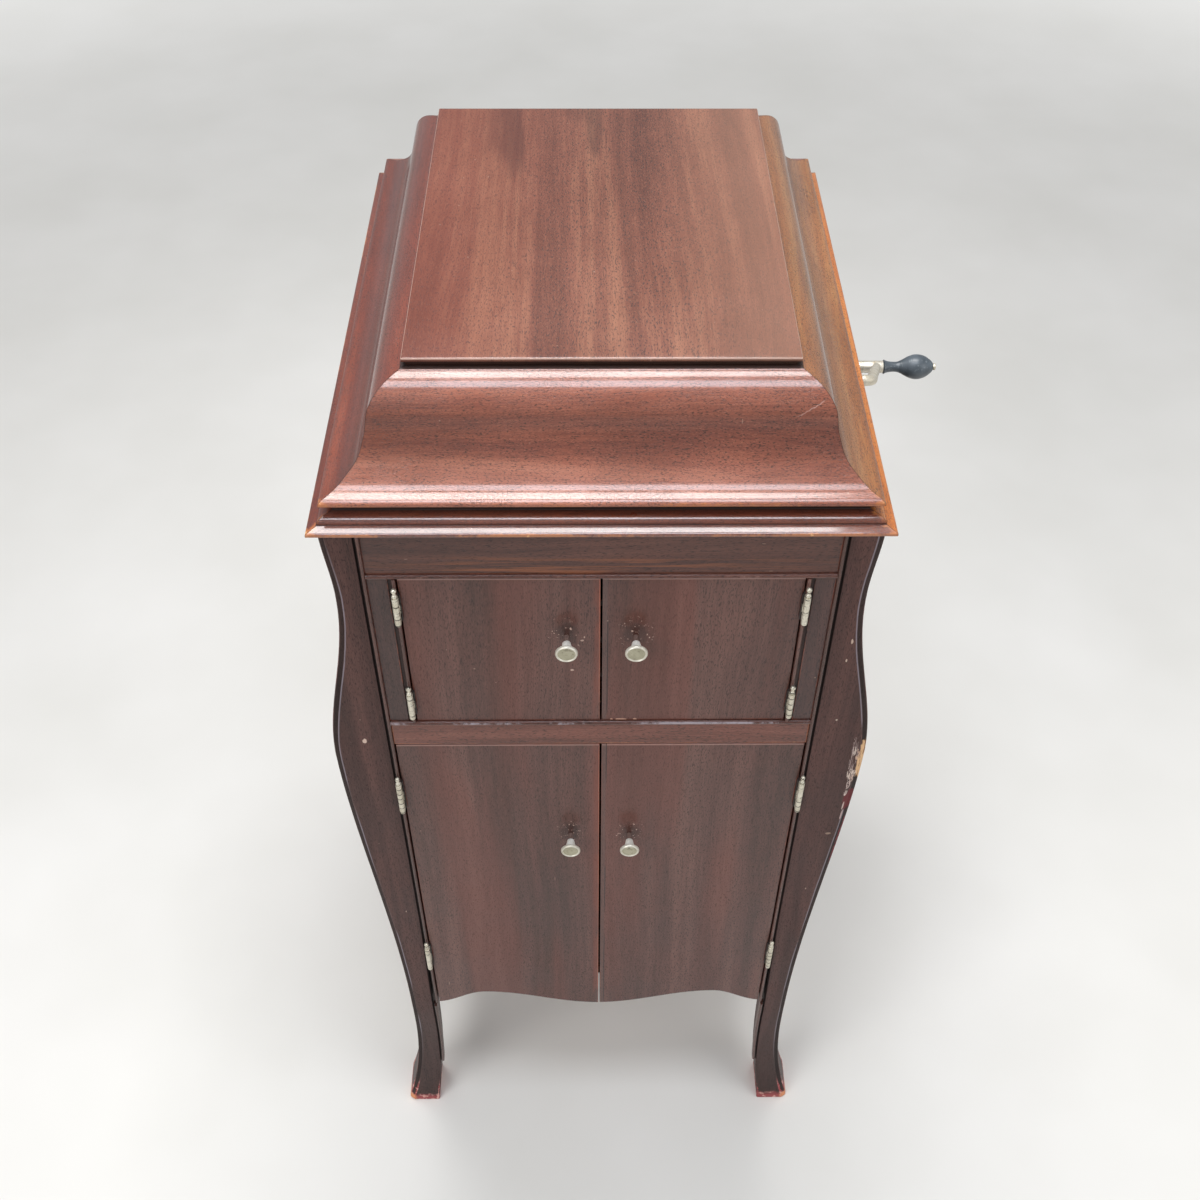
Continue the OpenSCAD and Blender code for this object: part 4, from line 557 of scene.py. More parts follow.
def flats(work):
    """Groups of faces that meet in one plane."""
    groups, seen = [], set()
    for face in work.faces:
        if face in seen:
            continue
        seen.add(face)
        group, front = [face], [face]
        while front:
            for edge in front.pop().edges:
                for other in edge.link_faces:
                    if other not in seen and other.normal.dot(face.normal) > 0.99999:
                        seen.add(other)
                        group.append(other)
                        front.append(other)
        groups.append(group)
    return groups


def arc(cx, cy, radius, start, end, steps):
    """Points of an arc, in degrees."""
    angles = [math.radians(start + (end - start) * i / steps) for i in range(steps + 1)]
    return [(cx + radius * math.cos(a), cy + radius * math.sin(a)) for a in angles]


def curve(points, steps):
    """Points on a smooth curve through some points."""
    ends = [points[0]] + list(points) + [points[-1]]
    found = []
    for p0, p1, p2, p3 in zip(ends, ends[1:], ends[2:], ends[3:]):
        for i in range(steps):
            t = i / steps
            found.append(tuple(0.5 * (2 * b + (c - a) * t + (2 * a - 5 * b + 4 * c - d) * t * t
                                      + (3 * b - a - 3 * c + d) * t ** 3)
                               for a, b, c, d in zip(p0, p1, p2, p3)))
    return found + [tuple(points[-1])]


# ---------- plain finishes on the CAD nodes ----------

PLAIN = {"case_wood": case_z, "lid_wood": case_x, "inner_wood": inner_x, "nickel": nickel, "iron": iron,
         "steel": steel, "brass": brass, "felt": felt, "handle": handle_lacquer}
for node, obj in frame["nodes"].items():
    finished(obj, PLAIN[slots[node]])

for material, width, band, nodes in (
        (case_z, 0.8, 6, "side_panel_left side_panel_right"), (inner_z, 0.6, 5, "back_panel"),
        (inner_x, 0.8, 6, "bottom_board middle_board record_shelves"), (inner_y, 0.6, 2, "cleats"),
        (case_x, 0.8, 6, "motor_board"), (case_x, 1.4, 2, "horn_slats"), (top_x, 0.5, 3, "top_rail"),
        (middle_x, 0.7, 3, "middle_rail"), (stile_z, 0.5, 3, "hinge_stiles"),
        (door_z, 0.8, 3, "upper_door_left lower_door_left"),
        (door_strip_z, 0.8, 3, "upper_door_right lower_door_right")):
    for node in nodes.split():
        softened(node, width * MM, material, band * MM)

for width, nodes in (
        (0.15, "door_catches mainspring"), (0.25, "spring_barrel winding_wheel"),
        (0.2, "turntable_spindle needle_cups train_wheel governor lid_hinge_leaves lid_hinge_seats"),
        (0.3, "tone_arm soundbox winding_shaft crank_escutcheon lid_stay_lug lid_stay lid_stay_bracket"),
        (0.4, "turntable tone_arm_bracket speed_regulator brake_lever"),
        (0.5, "horn turntable_felt motor_frame"), (0.8, "horn_throat")):
    for node in nodes.split():
        softened(node, width * MM, PLAIN[slots[node]], segments=2)

softened("crank", 0.8 * MM, crank_nickel, segments=2)
for node in frame["nodes"]:
    if "_hinge_leaves" in node and not node.startswith("lid"):
        softened(node, 0.15 * MM, hinge_nickel, segments=2)

# ---------- corner posts ----------

# The rebate's dark line and the chamfer's dark face are painted shade; the pale arris between them is a
# painted highlight
REBATE_W, REBATE_D = 1.0, 1.4         # mm: dark line between a post's face and the bead beside it
CHAMFER_W, CHAMFER_D = 5.2, 3.4       # mm: dark chamfer along a post's outer edge, set off by a pale arris
LEG_BEAD_END = 85 * MM
LINE_FADE = 12 * MM
TOE_H, TOE_RIM = 60 * MM, 12 * MM
SOLE_RIM = 1.1 * MM


def post_rows():
    """Height, inner and outer x, inner and outer y of the right rear post, at its own heights."""
    mesh = frame["nodes"]["post_rear_right"].data
    spans = [[mesh.vertices[i].co for i in edge.vertices] for edge in mesh.edges]
    levels = []
    for z in sorted({round(vertex.co.z, 5) for vertex in mesh.vertices}):
        cut = [a.lerp(b, (z - a.z) / (b.z - a.z)) for a, b in spans
               if abs(b.z - a.z) > MERGE and min(a.z, b.z) - MERGE <= z <= max(a.z, b.z) + MERGE]
        across, deep = [p.x for p in cut], [p.y for p in cut]
        levels.append((z, min(across), max(across), min(deep), max(deep)))
    return curve(levels, 2)


def post_section(width, depth, line):
    """Points of a post's section in millimetres, with their wear and painted shade: u outwards from its inner
    line, v inwards from its face. line is how much of the rebate is left."""
    arris = width - CHAMFER_W
    return [(0, REBATE_D, 0.3, line), (REBATE_W, REBATE_D * line + 0.2, 0.2, line),
            (REBATE_W + 0.2, 0.15, 0.55, line * 0.5), (REBATE_W + 0.7, 0, 0.4, 0),
            *((width * t, 0, 0, 0) for t in (0.2, 0.4, 0.6)),
            (arris - 2.2, 0, 0, 0), (arris - 0.5, 0.03, 0.8, 0), (arris + 0.1, 0.2, 0.92, 0),
            (arris + 0.7, 0.6, 0.3, 0.8), (width - 1.2, CHAMFER_D - 0.9, 0.1, 0.75),
            (width - 0.3, CHAMFER_D - 0.1, 0.8, 0.2), (width, CHAMFER_D + 0.8, 0.97, 0),
            (width, CHAMFER_D + 2.5, 0.4, 0), (width, depth * 0.4, 0.1, 0), (width, depth * 0.7, 0.1, 0),
            *((u, v, 0.7, 0) for u, v in arc(width - 2.5, depth - 2.5, 2.5, 0, 90, 3)),
            (width * 0.5, depth, 0.1, 0),
            *((u, v, 0.5, 0) for u, v in arc(1.5, depth - 1.5, 1.5, 90, 180, 3)), (0, depth * 0.5, 0.1, 0)]


def corner_post(name, side, end, material):
    """A post: side is 1 on the right, end is -1 at the front."""
    rings, worn, grime, inset = [], [], [], []
    rows = post_rows()
    bottom = rows[0][1:]
    levels = [(0.0, *(b + SOLE_RIM * sign for b, sign in zip(bottom, (1, -1, 1, -1)))), (SOLE_RIM, *bottom)]
    levels += [row for row in rows if row[0] > 2 * SOLE_RIM]
    for z, x_in, x_out, y_in, y_out in levels:
        toe = max(0.0, 1 - z / TOE_H)       # 1 at the sole, 0 where the toe ends
        line = min(1.0, max(0.0, (z - LEG_BEAD_END) / LINE_FADE)) if end < 0 else 0.0
        width = (x_out - x_in) / MM
        section = post_section(width, (y_out - y_in) / MM, line)
        rings.append([(side * (x_in + u * MM), end * (y_out - v * MM), z) for u, v, *_ in section])
        rim_wear = 1.25 * max(0.0, 1 - z / TOE_RIM) ** 0.5
        worn += [max(w + 0.7 * toe if w > 0.25 else w, rim_wear) for _, _, w, _ in section]
        grime += [g * (1 - 0.7 * toe) for *_, g in section]
        inset += [(width - u - max(0.0, v - CHAMFER_D)) * MM for u, v, *_ in section]
    lofted(name + "_shaped", rings, material, "case", name,
           marks={"worn": worn, "grime": grime, "inset": inset})


def post_marks(f, here, colour, rough, height):
    """Darker feet, a painted highlight along the pale arris, pink-red and bare toes, and the knocks on the
    front posts.
    """
    x, y, z = f.parts(here)
    inset = f.mark("inset")
    low = 1 - f.step(z, 0.06, 0.30)
    colour = f.blend(low * 0.25, colour, "#241a18")
    drift = (f.mottle(here, (60, 60, 22), (1, 2, 1), 3.0) - 0.5) * 1.4 * MM
    # arris: a pale line along the front posts' arris, a painted highlight
    arris = 1 - f.step(abs(inset - CHAMFER_W * MM - 0.3 * MM + drift), 0.3 * MM, 0.75 * MM)
    broken = f.blotch(here, (30, 30, 9), 0.36, 0.52, (4, 1, 7))
    front = 1 - f.step(y, -0.24, -0.23)
    colour = f.blend(arris * broken * front * f.step(z, 0.07, 0.2) * 0.6, colour, "#928a94")
    rim = 1 - f.step(abs(inset + 0.4 * MM + drift), 0.5 * MM, 1.3 * MM)
    rim = rim * f.blotch(here, (40, 40, 16), 0.44, 0.56, (9, 1, 2), 3.0)
    colour = f.blend(rim * front * 0.6, colour, "#7d4340")

    ragged = f.mottle(here, (150, 150, 110), detail=3.0, rough=0.6) - 0.5
    toe = f.step(f.mark("worn") + ragged * 1.3, 0.62, 0.86) * (1 - f.step(z, 0.026, 0.05))
    ragged = f.mottle(here, (110, 110, 60), (5, 2, 8), 3.0) - 0.5
    tip = 1 - f.step(z + ragged * 14 * MM, 9 * MM, 16 * MM)
    toe = toe + tip * (1 - toe) * 0.8
    colour = f.blend(toe * 0.95, colour, "#9d4547")
    fresh = f.blotch(here, (170, 170, 130), 0.50, 0.58, (3, 3, 3), 3.0)
    colour = f.blend(toe * fresh * 0.9, colour, "#dba79b")
    corner = f.step(abs(x), 0.222, 0.228) * (1 - f.step(y, -0.246, -0.240)) * (1 - f.step(z, 0.009, 0.014))
    colour = f.blend(corner * f.step(fresh + toe, 0.3, 0.8) * 0.95, colour, "#dd9262")

    edge = f.node("ShaderNodeCombineXYZ", {}, {0: inset, 2: z})
    right = f.step(x, 0.0, 0.01) * front
    split = f.blotch(edge, (640, 1, 50), 0.40, 0.47, rough=0.6)
    hairs = f.blotch(edge, (1100, 1, 34), 0.50, 0.57, (4, 0, 1), 2.0, 0.6)
    streaks = f.blotch(edge, (900, 1, 150), 0.45, 0.52, (2, 0, 5), 3.0, 0.65)
    gates = {"whole": 1.0, "split": split, "hairs": hairs, "streaks": streaks}
    for along, level, wide, high, tone, how in BULGE_KNOCKS:
        patch = f.spot(edge, (along * MM, 0, level * MM), (wide * MM, 1, high * MM),
                       0.35 if how in ("whole", "split") else 0.8, 620) * right * gates[how]
        colour = f.blend(patch, colour, tone)
        rough = rough + patch * 0.2
        height = height - patch * 0.8
    for across, level, wide, high, tone in FACE_KNOCKS:
        patch = f.spot(here, (across * MM, POST_MARKS_Y, level * MM), (wide * MM, MARK_DEEP, high * MM),
                       0.7, 420) * front
        colour = f.blend(patch, colour, tone)
        height = height - patch * 0.6
    return colour, rough, height


# Knocks along the right post's outer edge: distance in from the edge, height, half sizes, tone, and how
# the grain shows
BULGE_KNOCKS = (
    (4.0, 622, 5.4, 17, "#64292c", "whole"), (1.4, 555, 1.6, 42, "#74343a", "split"),
    (2.5, 682, 3.9, 29, "#7c5236", "whole"), (2.5, 682, 3.6, 28, "#e0b78c", "split"),
    (0.9, 664, 0.9, 14, "#d8ad84", "whole"), (9.5, 688, 3.2, 26, "#ad9791", "hairs"),
    (9.6, 694, 1.9, 6.5, "#d3c0b4", "streaks"), (6.6, 689, 2.0, 8, "#cba893", "streaks"),
    (8.2, 659, 4.4, 9.5, "#d3bfb2", "streaks"), (6.6, 655, 2.0, 6, "#c9ada0", "streaks"),
    (8.0, 644, 1.9, 6.5, "#c4aea6", "streaks"), (8.4, 633, 1.8, 5.5, "#d0bcb2", "streaks"),
    (7.2, 612, 0.7, 7, "#c3aca4", "whole"), (6.2, 598, 0.7, 9, "#b39a95", "whole"),
    (12.4, 567, 2.8, 1.8, "#8c7466", "whole"))
# Small knocks on the posts' faces: x, height, half sizes, tone
FACE_KNOCKS = (
    (-203.5, 711, 1.9, 3.4, "#cbb0a0"), (200.5, 838, 0.9, 3.2, "#b9a08f"), (199.0, 815, 0.7, 2.0, "#b9a08f"),
    (201.0, 738, 0.9, 1.2, "#b5a291"), (-196.0, 430, 0.8, 1.6, "#a58c7f"), (205.0, 470, 0.7, 1.8, "#a58c7f"))
post_z = varnished("post_upright", POST_TONES, "z", 11.0, gloss=0.46, shine=0.22, coat=0.15,
                   rubbed="#7c5650", bare="#b07a6c", extra=post_marks)
for side_name, side in SIDES:
    for end_name, end in (("front", -1), ("rear", 1)):
        corner_post(f"post_{end_name}_{side_name}", side, end, post_z)

# ---------- cock beads ----------

BEAD_W = 2.8 * MM
QUIRK_W = 1.1 * MM         # groove between a post and the bead beside it
UPPER_QUIRK = 3.2 * MM     # groove between a stile and the bead beside it
QUIRK_D = 3 * MM
BEAD_OUT = 1.2 * MM
HINGE_GAP = 1.4 * MM       # from an upper door's edge to the bead beside it
LEVEL_BEAD_H = 4 * MM
LEG_BEAD_DEEP = 7.2 * MM
LEG_BEAD_FADE = 9 * MM
JOINT_GAP = 0.1 * MM
bead_low, bead_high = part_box("cock_beads")


def bead_section(width, depth, foot):
    """A half-round nose over a straight side, with a foot that reaches out by foot; with wear, and painted
    shade in the groove at its side.
    """
    nose = [(u, v, 0.62 if v < width * 0.3 else 0.0, 0) for u, v in arc(0, width / 2, width / 2, 180, 360, 8)]
    side = [(width / 2, QUIRK_D, 0, 0.6), (width / 2 + foot, QUIRK_D, 0, 1)] if foot else []
    return nose + side + [(width / 2 + foot, depth, 0, 0), (-width / 2, depth, 0, 0)]


def bead_rod(name, width, start, end, across, material, foot=0.0):
    """A bead from start to end along its nose."""
    section = bead_section(width, bead_high.y - bead_low.y, foot)
    run = Vector(end) - Vector(start)
    rings = [[Vector(start) + run * share + Vector(across) * u + Vector((0, v, 0)) for u, v, *_ in section]
             for share in (0, 0.004, 0.25, 0.5, 0.75, 0.996, 1)]
    marks = {"worn": [w for *_, w, _ in section] * len(rings), "grime": [g for *_, g in section] * len(rings)}
    lofted(name, rings, material, "case", "cock_beads", marks=marks)


def leg_bead(label, side):
    """The bead that runs down a front leg's inner line and dies away above the toe."""
    section = bead_section(BEAD_W, LEG_BEAD_DEEP, QUIRK_W)
    rings, worn, grime = [], [], []
    for z, x_in, _, _, y_out in post_rows():
        if LEG_BEAD_END <= z < bead_low.z:
            sunk = 1 - min(1.0, (z - LEG_BEAD_END) / LEG_BEAD_FADE)
            middle = x_in - QUIRK_W - BEAD_W / 2
            rings.append([(side * (middle + u), v + max(0.0, QUIRK_D - v) * sunk - y_out - BEAD_OUT, z)
                          for u, v, *_ in section])
            worn += [w for *_, w, _ in section]
            grime += [g for *_, g in section]
    lofted(f"leg_bead_{label}", rings, bead_z, "case", f"post_front_{label}",
           marks={"worn": worn, "grime": grime})


# The middle bead's pale rubbed tone, spread along its nose by its high wear, is a painted highlight
bead_z, bead_x, highlight_bead_x = (
    varnished(name, DOOR_TONES, grain, seed, gloss=0.3, wear=wear, rubbed=rubbed, nicked=0.4)
    for name, grain, seed, wear, rubbed in (("bead_upright", "z", 13.0, 0.9, "#8d6a5e"),
                                            ("bead_level", "x", 14.0, 1.35, "#8f6a60"),
                                            ("bead_level_pale", "x", 15.0, 1.6, "#aaa0a6")))
top_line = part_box("top_rail")[0].z
middle_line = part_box("middle_rail")[1].z + LEVEL_BEAD_H
outer = bead_high.x - QUIRK_W - BEAD_W / 2
inner_end = outer - BEAD_W / 2 - JOINT_GAP
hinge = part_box("upper_door_right")[1].x + HINGE_GAP + BEAD_W / 2
for z, label, material in ((top_line, "top", bead_x), (middle_line, "middle", highlight_bead_x)):
    ends = [(x, bead_low.y, z - LEVEL_BEAD_H / 2) for x in (-inner_end, inner_end)]
    bead_rod(f"level_bead_{label}", LEVEL_BEAD_H, *ends, (0, 0, 1), material)
for side_name, side in SIDES:
    bead_rod(f"outer_bead_{side_name}", BEAD_W, (side * outer, bead_low.y, bead_low.z),
             (side * outer, bead_low.y, bead_high.z), (side, 0, 0), bead_z, QUIRK_W)
    bead_rod(f"hinge_bead_{side_name}", BEAD_W, (side * hinge, bead_low.y, middle_line + JOINT_GAP),
             (side * hinge, bead_low.y, top_line - LEVEL_BEAD_H - JOINT_GAP), (side, 0, 0), bead_z,
             UPPER_QUIRK)
    leg_bead(side_name, side)

# ---------- top moulding and lid ----------

MITRE_CUTS = (0.12, 0.5, 2, 9, 40)    # mm from a mitre, where a rail gets a ring of points
MITRE_WEAR = 9                        # mm: how far the wear of a mitre reaches
MITRE_DIRT = 0.3


def mitred_rails(name, profile, node, materials):
    """Four mitred rails round a CAD node. The profile gives inset, height, wear and painted shade, in
    millimetres; materials are front, right, rear, left."""
    low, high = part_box(node)
    for turn, label in enumerate(("front", "right", "rear", "left")):
        reach, out = (high.y, high.x) if turn % 2 else (high.x, high.y)
        spin = Matrix.Rotation(math.radians(90 * turn), 3, "Z")
        rings, worn, grime = [], [], []
        for sign, cut in [(-1, c) for c in MITRE_CUTS] + [(1, c) for c in reversed(MITRE_CUTS)]:
            near = max(0.0, 1 - cut / MITRE_WEAR)
            rings.append([spin @ Vector((sign * (reach - (inset + cut) * MM), inset * MM - out,
                                         low.z + height * MM)) for inset, height, *_ in profile])
            worn += [min(1.3, wear + near * (0.55 if wear > 0.3 else 0.25)) for *_, wear, _ in profile]
            # grime: the profile's painted shade, and a dark joint along each mitre
            grime += [max(dirt_and_shade, 0.8 if cut < MITRE_DIRT else 0.0) for *_, dirt_and_shade in profile]
        lofted(f"{name}_{label}", rings, materials[turn], bodies[node], node,
               marks={"worn": worn, "grime": grime})


def ogee_scratch(f, here, colour, rough, height):
    """A pale slanting scratch at the right of the front ogee."""
    x, _, z = f.parts(here)
    right, up = x - 149 * MM, z - 1040 * MM
    along = right * 0.86 + up * 0.5
    across = up * 0.86 - right * 0.5
    ragged = f.mottle(here, 300) - 0.5
    line = 1 - f.step(abs(across + ragged * 2.4 * MM), 0.1 * MM, 0.6 * MM)
    line = line * (1 - f.step(abs(along), 7 * MM, 13 * MM))
    return f.blend(line * 0.45, colour, "#c9a69b"), rough, height


def rail_shade(f, here, colour, rough, height):
    """Painted shade on the steep middle of the side rails' ogee."""
    z = f.parts(here)[2]
    foot, top = (corner.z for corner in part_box("lid_frame"))
    share = (z - foot) / (top - foot)
    steep = f.step(share, 0.2, 0.36) * (1 - f.step(share, 0.66, 0.84))
    return f.blend(steep * 0.6, colour, "#45231a"), rough, height


# The rails' grain, tones on the lid and on the moulding, and what each lid rail adds: a scratch at the front,
# painted shade on the sides
RAILS = (("front", "x", OGEE_TONES, MOULDING_TONES, ogee_scratch),
         ("right", "y", LID_RIGHT_TONES, RIGHT_TONES, rail_shade),
         ("rear", "x", OGEE_TONES, MOULDING_TONES, None),
         ("left", "y", LEFT_TONES, LEFT_TONES, rail_shade))
lid_rails = [varnished(f"lid_rail_{label}", tones, grain, 20.0 + i, gloss=0.27, shine=0.5, coat=0.8,
                       polish=0.12, crackle=1.0, pores=0.7, fineness=1.3, rubbed="#b46c36",
                       bare="#d09a60", wear=0.95, figure=0.8, extra=marks)
             for i, (label, grain, tones, _, marks) in enumerate(RAILS)]
mould_rails = [varnished(f"moulding_{label}", tones, grain, 30.0 + i, gloss=0.26, shine=0.5, coat=1.0,
                         polish=0.07, crackle=0.6, fineness=1.3, rubbed="#b56d36", bare="#d49c60")
               for i, (label, grain, _, tones, _) in enumerate(RAILS)]

# The moulding's sizes in millimetres: how far in from its edge and how high each part starts
MOULD_DEEP = 29
LIP_H = 3
FASCIA_IN, FASCIA_H = 8, 5
STEP_H = 1
CROWN_IN, CROWN_H = 15.7, 10.4
RISER_IN = 19
mould_low, mould_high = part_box("top_moulding")
mould_h = (mould_high.z - mould_low.z) / MM
crown_foot = FASCIA_H + STEP_H
crown = [(CROWN_IN - (CROWN_IN - FASCIA_IN) * c, crown_foot + (CROWN_H - crown_foot) * s)
         for c, s in arc(0, 0, 1, 10, 90, 8)]
# The moulding's profile: inset, height, wear and painted shade, which darkens the groove at the crown's foot
# and the gap under the lid
moulding = [
    (MOULD_DEEP, 0, 0, 0), (0.8, 0, 0.4, 0), (0.15, 0.3, 1, 0), (0, 1.2, 1.08, 0),
    (0.1, LIP_H - 0.6, 1.05, 0), (0.7, LIP_H, 0.85, 0),
    *((0.7 + (FASCIA_IN - 0.7) * t, LIP_H + (FASCIA_H - LIP_H) * t, 0.62, 0) for t in (0.2, 0.5, 0.8)),
    (FASCIA_IN - 0.4, FASCIA_H - 0.1, 0.4, 0.3), (FASCIA_IN, FASCIA_H, 0, 0.9),
    (FASCIA_IN, FASCIA_H + STEP_H * 0.8, 0.3, 0.3),
    *((u, v, 0.5, 0) for u, v in crown),
    (RISER_IN - 0.3, CROWN_H, 0, 0.8), (RISER_IN, CROWN_H + 0.3, 0, 1), (RISER_IN, mould_h, 0, 0.9),
    (MOULD_DEEP, mould_h, 0, 0.2)]
mitred_rails("moulding", moulding, "top_moulding", mould_rails)

# The ogee from its lower edge to the raised panel, as shares of its width and height
OGEE = [(0.05, 0.062), (0.10, 0.072), (0.16, 0.088), (0.22, 0.114), (0.28, 0.15), (0.36, 0.205),
        (0.43, 0.265), (0.485, 0.35), (0.525, 0.446), (0.56, 0.542), (0.58, 0.637), (0.60, 0.723),
        (0.64, 0.8), (0.70, 0.866), (0.78, 0.924), (0.88, 0.967), (0.97, 0.99)]
# The lid's inside, as the same shares
LID_INSIDE = [(0.8, 0.74), (0.74, 0.53), (0.61, 0.35), (0.61, 0.05), (0.45, 0)]
RAIL_REST, LID_WALL, LID_LIP = 9, 12, 3.4    # mm
lid_low, lid_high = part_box("lid_frame")
panel_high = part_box("lid_panel")[1]
ogee_w = (lid_high.x - panel_high.x) / MM
ogee_h = (lid_high.z - lid_low.z) / MM
# The lid rail's profile: inset, height, wear and painted shade, which darkens its underside and the groove
# round the raised panel
lid_profile = [
    (1.0, 0, 0.3, 0.3), (0.2, 0.3, 0.9, 0), (0, 1.0, 1.05, 0), (0, LID_LIP - 1.6, 0.9, 0),
    (0.25, LID_LIP - 0.6, 0.95, 0), (0.9, LID_LIP, 0.8, 0),
    *((x * ogee_w, z * ogee_h, 0.45 if z < 0.1 else 0.15 if z < 0.14 else 0.0, 0) for x, z in curve(OGEE, 2)),
    (ogee_w - 1.6, ogee_h - 0.5, 0, 0.1), (ogee_w - 1.1, ogee_h - 0.4, 0, 0.9), (ogee_w, ogee_h - 0.1, 0, 1),
    (ogee_w + 1, ogee_h, 0, 1), (ogee_w + RAIL_REST, ogee_h, 0, 0.9),
    (ogee_w + RAIL_REST, ogee_h - LID_WALL, 0, 0), *((x * ogee_w, z * ogee_h, 0, 0) for x, z in LID_INSIDE)]
mitred_rails("lid_rail", lid_profile, "lid_frame", lid_rails)


def panel_figure_and_painted_light(f, here, colour, rough, height):
    """Dark slanting streaks at the raised panel's rear left, a redder left side, a greyer right side, a
    painted highlight along its rounded edge and painted shade on its sides, down in the groove round it."""
    x, y, z = f.parts(here)
    down = panel_high.z - z
    slant = f.scaled(here, (30, 4.5, 30), (1.5, 0.2, 0), (0, 0, math.radians(-14)))
    streaks = f.step(f.noise(slant, 2.0), 0.52, 0.64)
    region = f.step(y, 0.0, 0.12) * (1 - f.step(x, -0.03, 0.05)) * f.step(x, -0.11, -0.08)
    colour = f.blend(streaks * region * 0.6, colour, "#32140d")
    colour = f.blend((1 - f.step(x, -0.14, 0.0)) * 0.4, colour, "#6e2a18")
    colour = f.blend(f.step(x, 0.03, 0.14) * 0.35, colour, "#98705a")
    # a painted highlight along the panel's rounded edge
    line = f.step(down, 0.1 * MM, 0.3 * MM) * (1 - f.step(down, 1.0 * MM, 1.4 * MM))
    colour = f.blend(line * 0.6, colour, "#d9b7a6")
    # painted shade on the panel's sides, in the groove round it
    return f.blend(f.step(down, 1.8 * MM, 3.4 * MM) * 0.85, colour, "#1c100c"), rough, height


panel_y = varnished("lid_panel_deep", PANEL_TONES, "y", 40.0, gloss=0.3, shine=0.5, coat=0.5, polish=0.16,
                    pores=0.7, fineness=1.12, rubbed="#b8763e", bare="#cf965c", wear=0.8, extra=panel_figure_and_painted_light)
softened("lid_panel", 1.3 * MM, panel_y, 4 * MM)

# ---------- knobs ----------

LATHE_STEPS = 48


def lathe(name, profile, place, aim, material, body, *nodes):
    """A turned piece: profile gives distance along the axis and radius, from the back to the front."""
    aim = Vector(aim).normalized()
    side = aim.orthogonal().normalized()
    up = aim.cross(side)
    round_it = [side * math.cos(a) + up * math.sin(a)
                for a in (2 * math.pi * i / LATHE_STEPS for i in range(LATHE_STEPS))]
    rings = [[Vector(place) + aim * along + spoke * max(radius, 1e-5) for spoke in round_it]
             for along, radius in profile]
    lofted(name, rings, material, body, *nodes)


def knob(node):
    """A knob's stem, turned head and dull dish, in millimetres from the door."""
    low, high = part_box(node)
    root = ((low.x + high.x) / 2, DOOR_FACE, (low.z + high.z) / 2)
    out = (DOOR_FACE - low.y) / MM
    r = (high.x - low.x) / 2 / MM
    stem = [(0, 2), (6.7, 2), (7, 2.9), (7.6, 3.3), (10, 3.7), (14.6, 4.7), (15.1, 4.7), (15.4, 4.2),
            (16.4, 4.2)]
    head = [(15.7, 0), (15.7, 4.8), (16.3, 6.6), (16.9, 8.2), (17.6, r), (18.7, r), (19.5, r - 0.35),
            (out, r - 0.9), (out, r - 1.3), (out - 0.45, r - 1.8), (out - 0.7, r - 2), (out - 1, 0)]
    dish = [(out - 0.75, r - 2), (out - 0.62, r - 2.2), (out - 0.85, r * 0.5), (out - 0.9, 0)]
    for label, profile, material in (("stem", stem, stem_nickel), ("turned", head, knob_nickel),
                                     ("dish", dish, face_nickel)):
        lathe(f"{node}_{label}", [(a * MM, radius * MM) for a, radius in profile], root, (0, -1, 0), material,
              bodies[node], node)


for node in frame["nodes"]:
    if "_knob_" in node:
        knob(node)

# ---------- crank handle ----------

# The handle from its collar to its end, as shares of its length and of its greatest radius
HANDLE = [(0, 0.50), (0.012, 0.58), (0.05, 0.50), (0.12, 0.43), (0.22, 0.40), (0.30, 0.44), (0.39, 0.60),
          (0.50, 0.84), (0.60, 0.97), (0.68, 1.0), (0.77, 0.95), (0.86, 0.80), (0.93, 0.60), (0.97, 0.46),
          (1.0, 0.30)]
handle_low, handle_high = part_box("crank_handle")
handle_l = handle_high.x - handle_low.x
handle_r = (handle_high.z - handle_low.z) / 2
handle = [(0, 0), *curve(HANDLE, 3), (1, 0)]
lathe("crank_handle_turned", [(along * handle_l, radius * handle_r) for along, radius in handle],
      (handle_low.x, (handle_low.y + handle_high.y) / 2, (handle_low.z + handle_high.z) / 2), (1, 0, 0),
      handle_lacquer, bodies["crank_handle"], "crank_handle")

# ---------- stage, lamps and camera ----------

FLOOR_HALF = 12.0


def stage_floor():
    """A pale floor that the camera sees fade to white far from the cabinet."""
    f = Finish("pale_floor")
    here = f.here()
    tone = f.ramp(f.mottle(here, 3, detail=3.0), (0.3, "#dedbd5"), (0.7, "#e6e3de"))
    x, y, _ = f.parts(here)
    far = f.step(x * x + y * y, 2.0, 20.0) * f.node("ShaderNodeLightPath", out="Is Camera Ray")
    material = f.shade(Base_Color=tone, Roughness=0.6, Emission_Strength=1.0,
                       Emission_Color=f.blend(far, "#000000", "#cfcfcd"))
    mesh = bpy.data.meshes.new("floor")
    mesh.from_pydata([(x * FLOOR_HALF, y * FLOOR_HALF, 0) for x, y in ((-1, -1), (1, -1), (1, 1), (-1, 1))],
                     [], [(0, 1, 2, 3)])
    obj = added("floor", mesh)
    finished(obj, material)


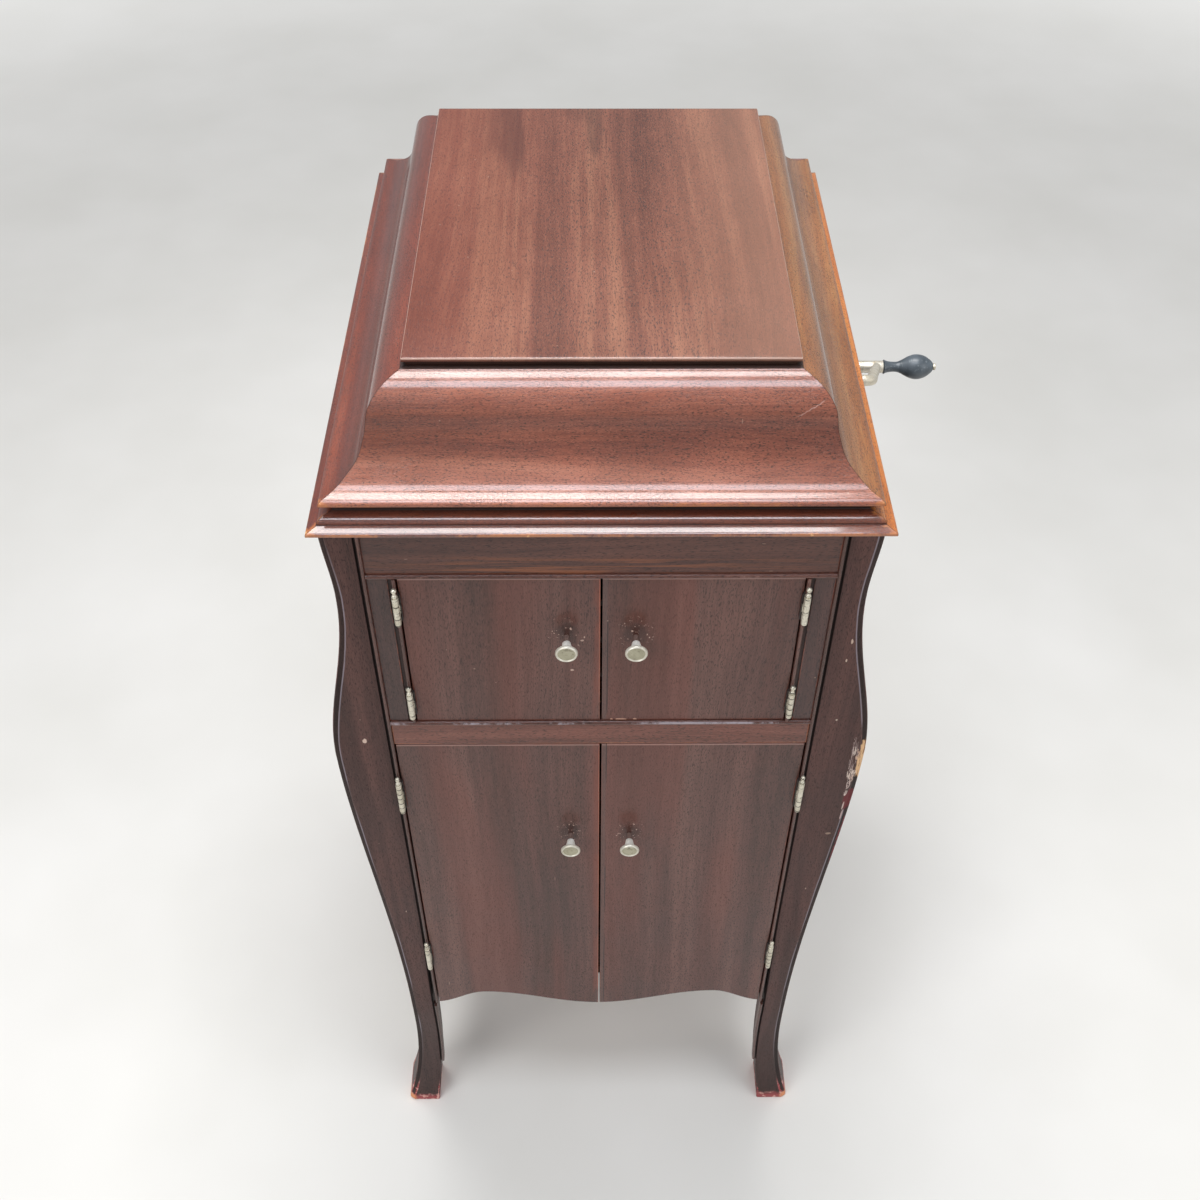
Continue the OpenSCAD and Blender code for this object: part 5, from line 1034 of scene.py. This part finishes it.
def soft_lamp(name, place, towards, size, power, colour=(1, 1, 1)):
    data = bpy.data.lights.new(name, "AREA")
    data.shape = "RECTANGLE"
    data.size, data.size_y = size
    data.energy = power
    data.color = colour
    obj = added(name, data)
    obj.location = place
    obj.rotation_euler = (Vector(towards) - Vector(place)).to_track_quat("-Z", "Y").to_euler()


def sky(strength):
    """Soft light from all round, which the camera sees as white."""
    f = Finish("studio", bpy.data.worlds)
    bpy.context.scene.world = f.owner
    light = f.node("ShaderNodeBackground", {}, {"Color": (0.93, 0.96, 1.0, 1), "Strength": strength})
    white = f.node("ShaderNodeBackground", {}, {"Color": (1, 1, 1, 1)})
    seen = f.calc("MAXIMUM", f.node("ShaderNodeLightPath", out="Is Camera Ray"),
                  f.node("ShaderNodeLightPath", out="Is Transmission Ray"))
    f.put(f.tree.nodes["World Output"].inputs[0],
          f.node("ShaderNodeMixShader", {}, {0: seen, 1: light, 2: white}))


stage_floor()
sky(0.42)
soft_lamp("top_lamp", (-0.1, 0.45, 2.9), (0, -0.1, 1.0), (1.25, 0.85), 44)
soft_lamp("high_lamp", (0, -0.58, 2.9), (0, -0.25, 1.0), (1.2, 0.6), 21, (0.84, 0.91, 1.0))
soft_lamp("window_lamp", (-1.9, -2.2, 2.6), (0, 0, 0.7), (1.8, 1.8), 43)
soft_lamp("fill_lamp", (2.4, -1.4, 2.0), (0, 0, 0.6), (2.2, 2.2), 22)

# The camera that the cabinet's own edges give: its place in metres, its turns in degrees
CAMERA_AT = (-0.0096, -0.9749, 1.6465)
CAMERA_DOWN = 46.409
CAMERA_YAW = -0.668
CAMERA_ROLL = 0.317
FIELD = 47.636


def camera():
    data = bpy.data.cameras.new("camera")
    data.sensor_fit = "HORIZONTAL"
    data.angle = math.radians(FIELD)
    obj = added("camera", data)
    obj.matrix_world = Matrix.Translation(CAMERA_AT)
    for angle, axis in ((CAMERA_YAW, "Z"), (90 - CAMERA_DOWN, "X"), (CAMERA_ROLL, "Z")):
        obj.matrix_world = obj.matrix_world @ Matrix.Rotation(math.radians(angle), 4, axis)
    bpy.context.scene.camera = obj


camera()
bpy.context.scene.view_settings.view_transform = "Standard"
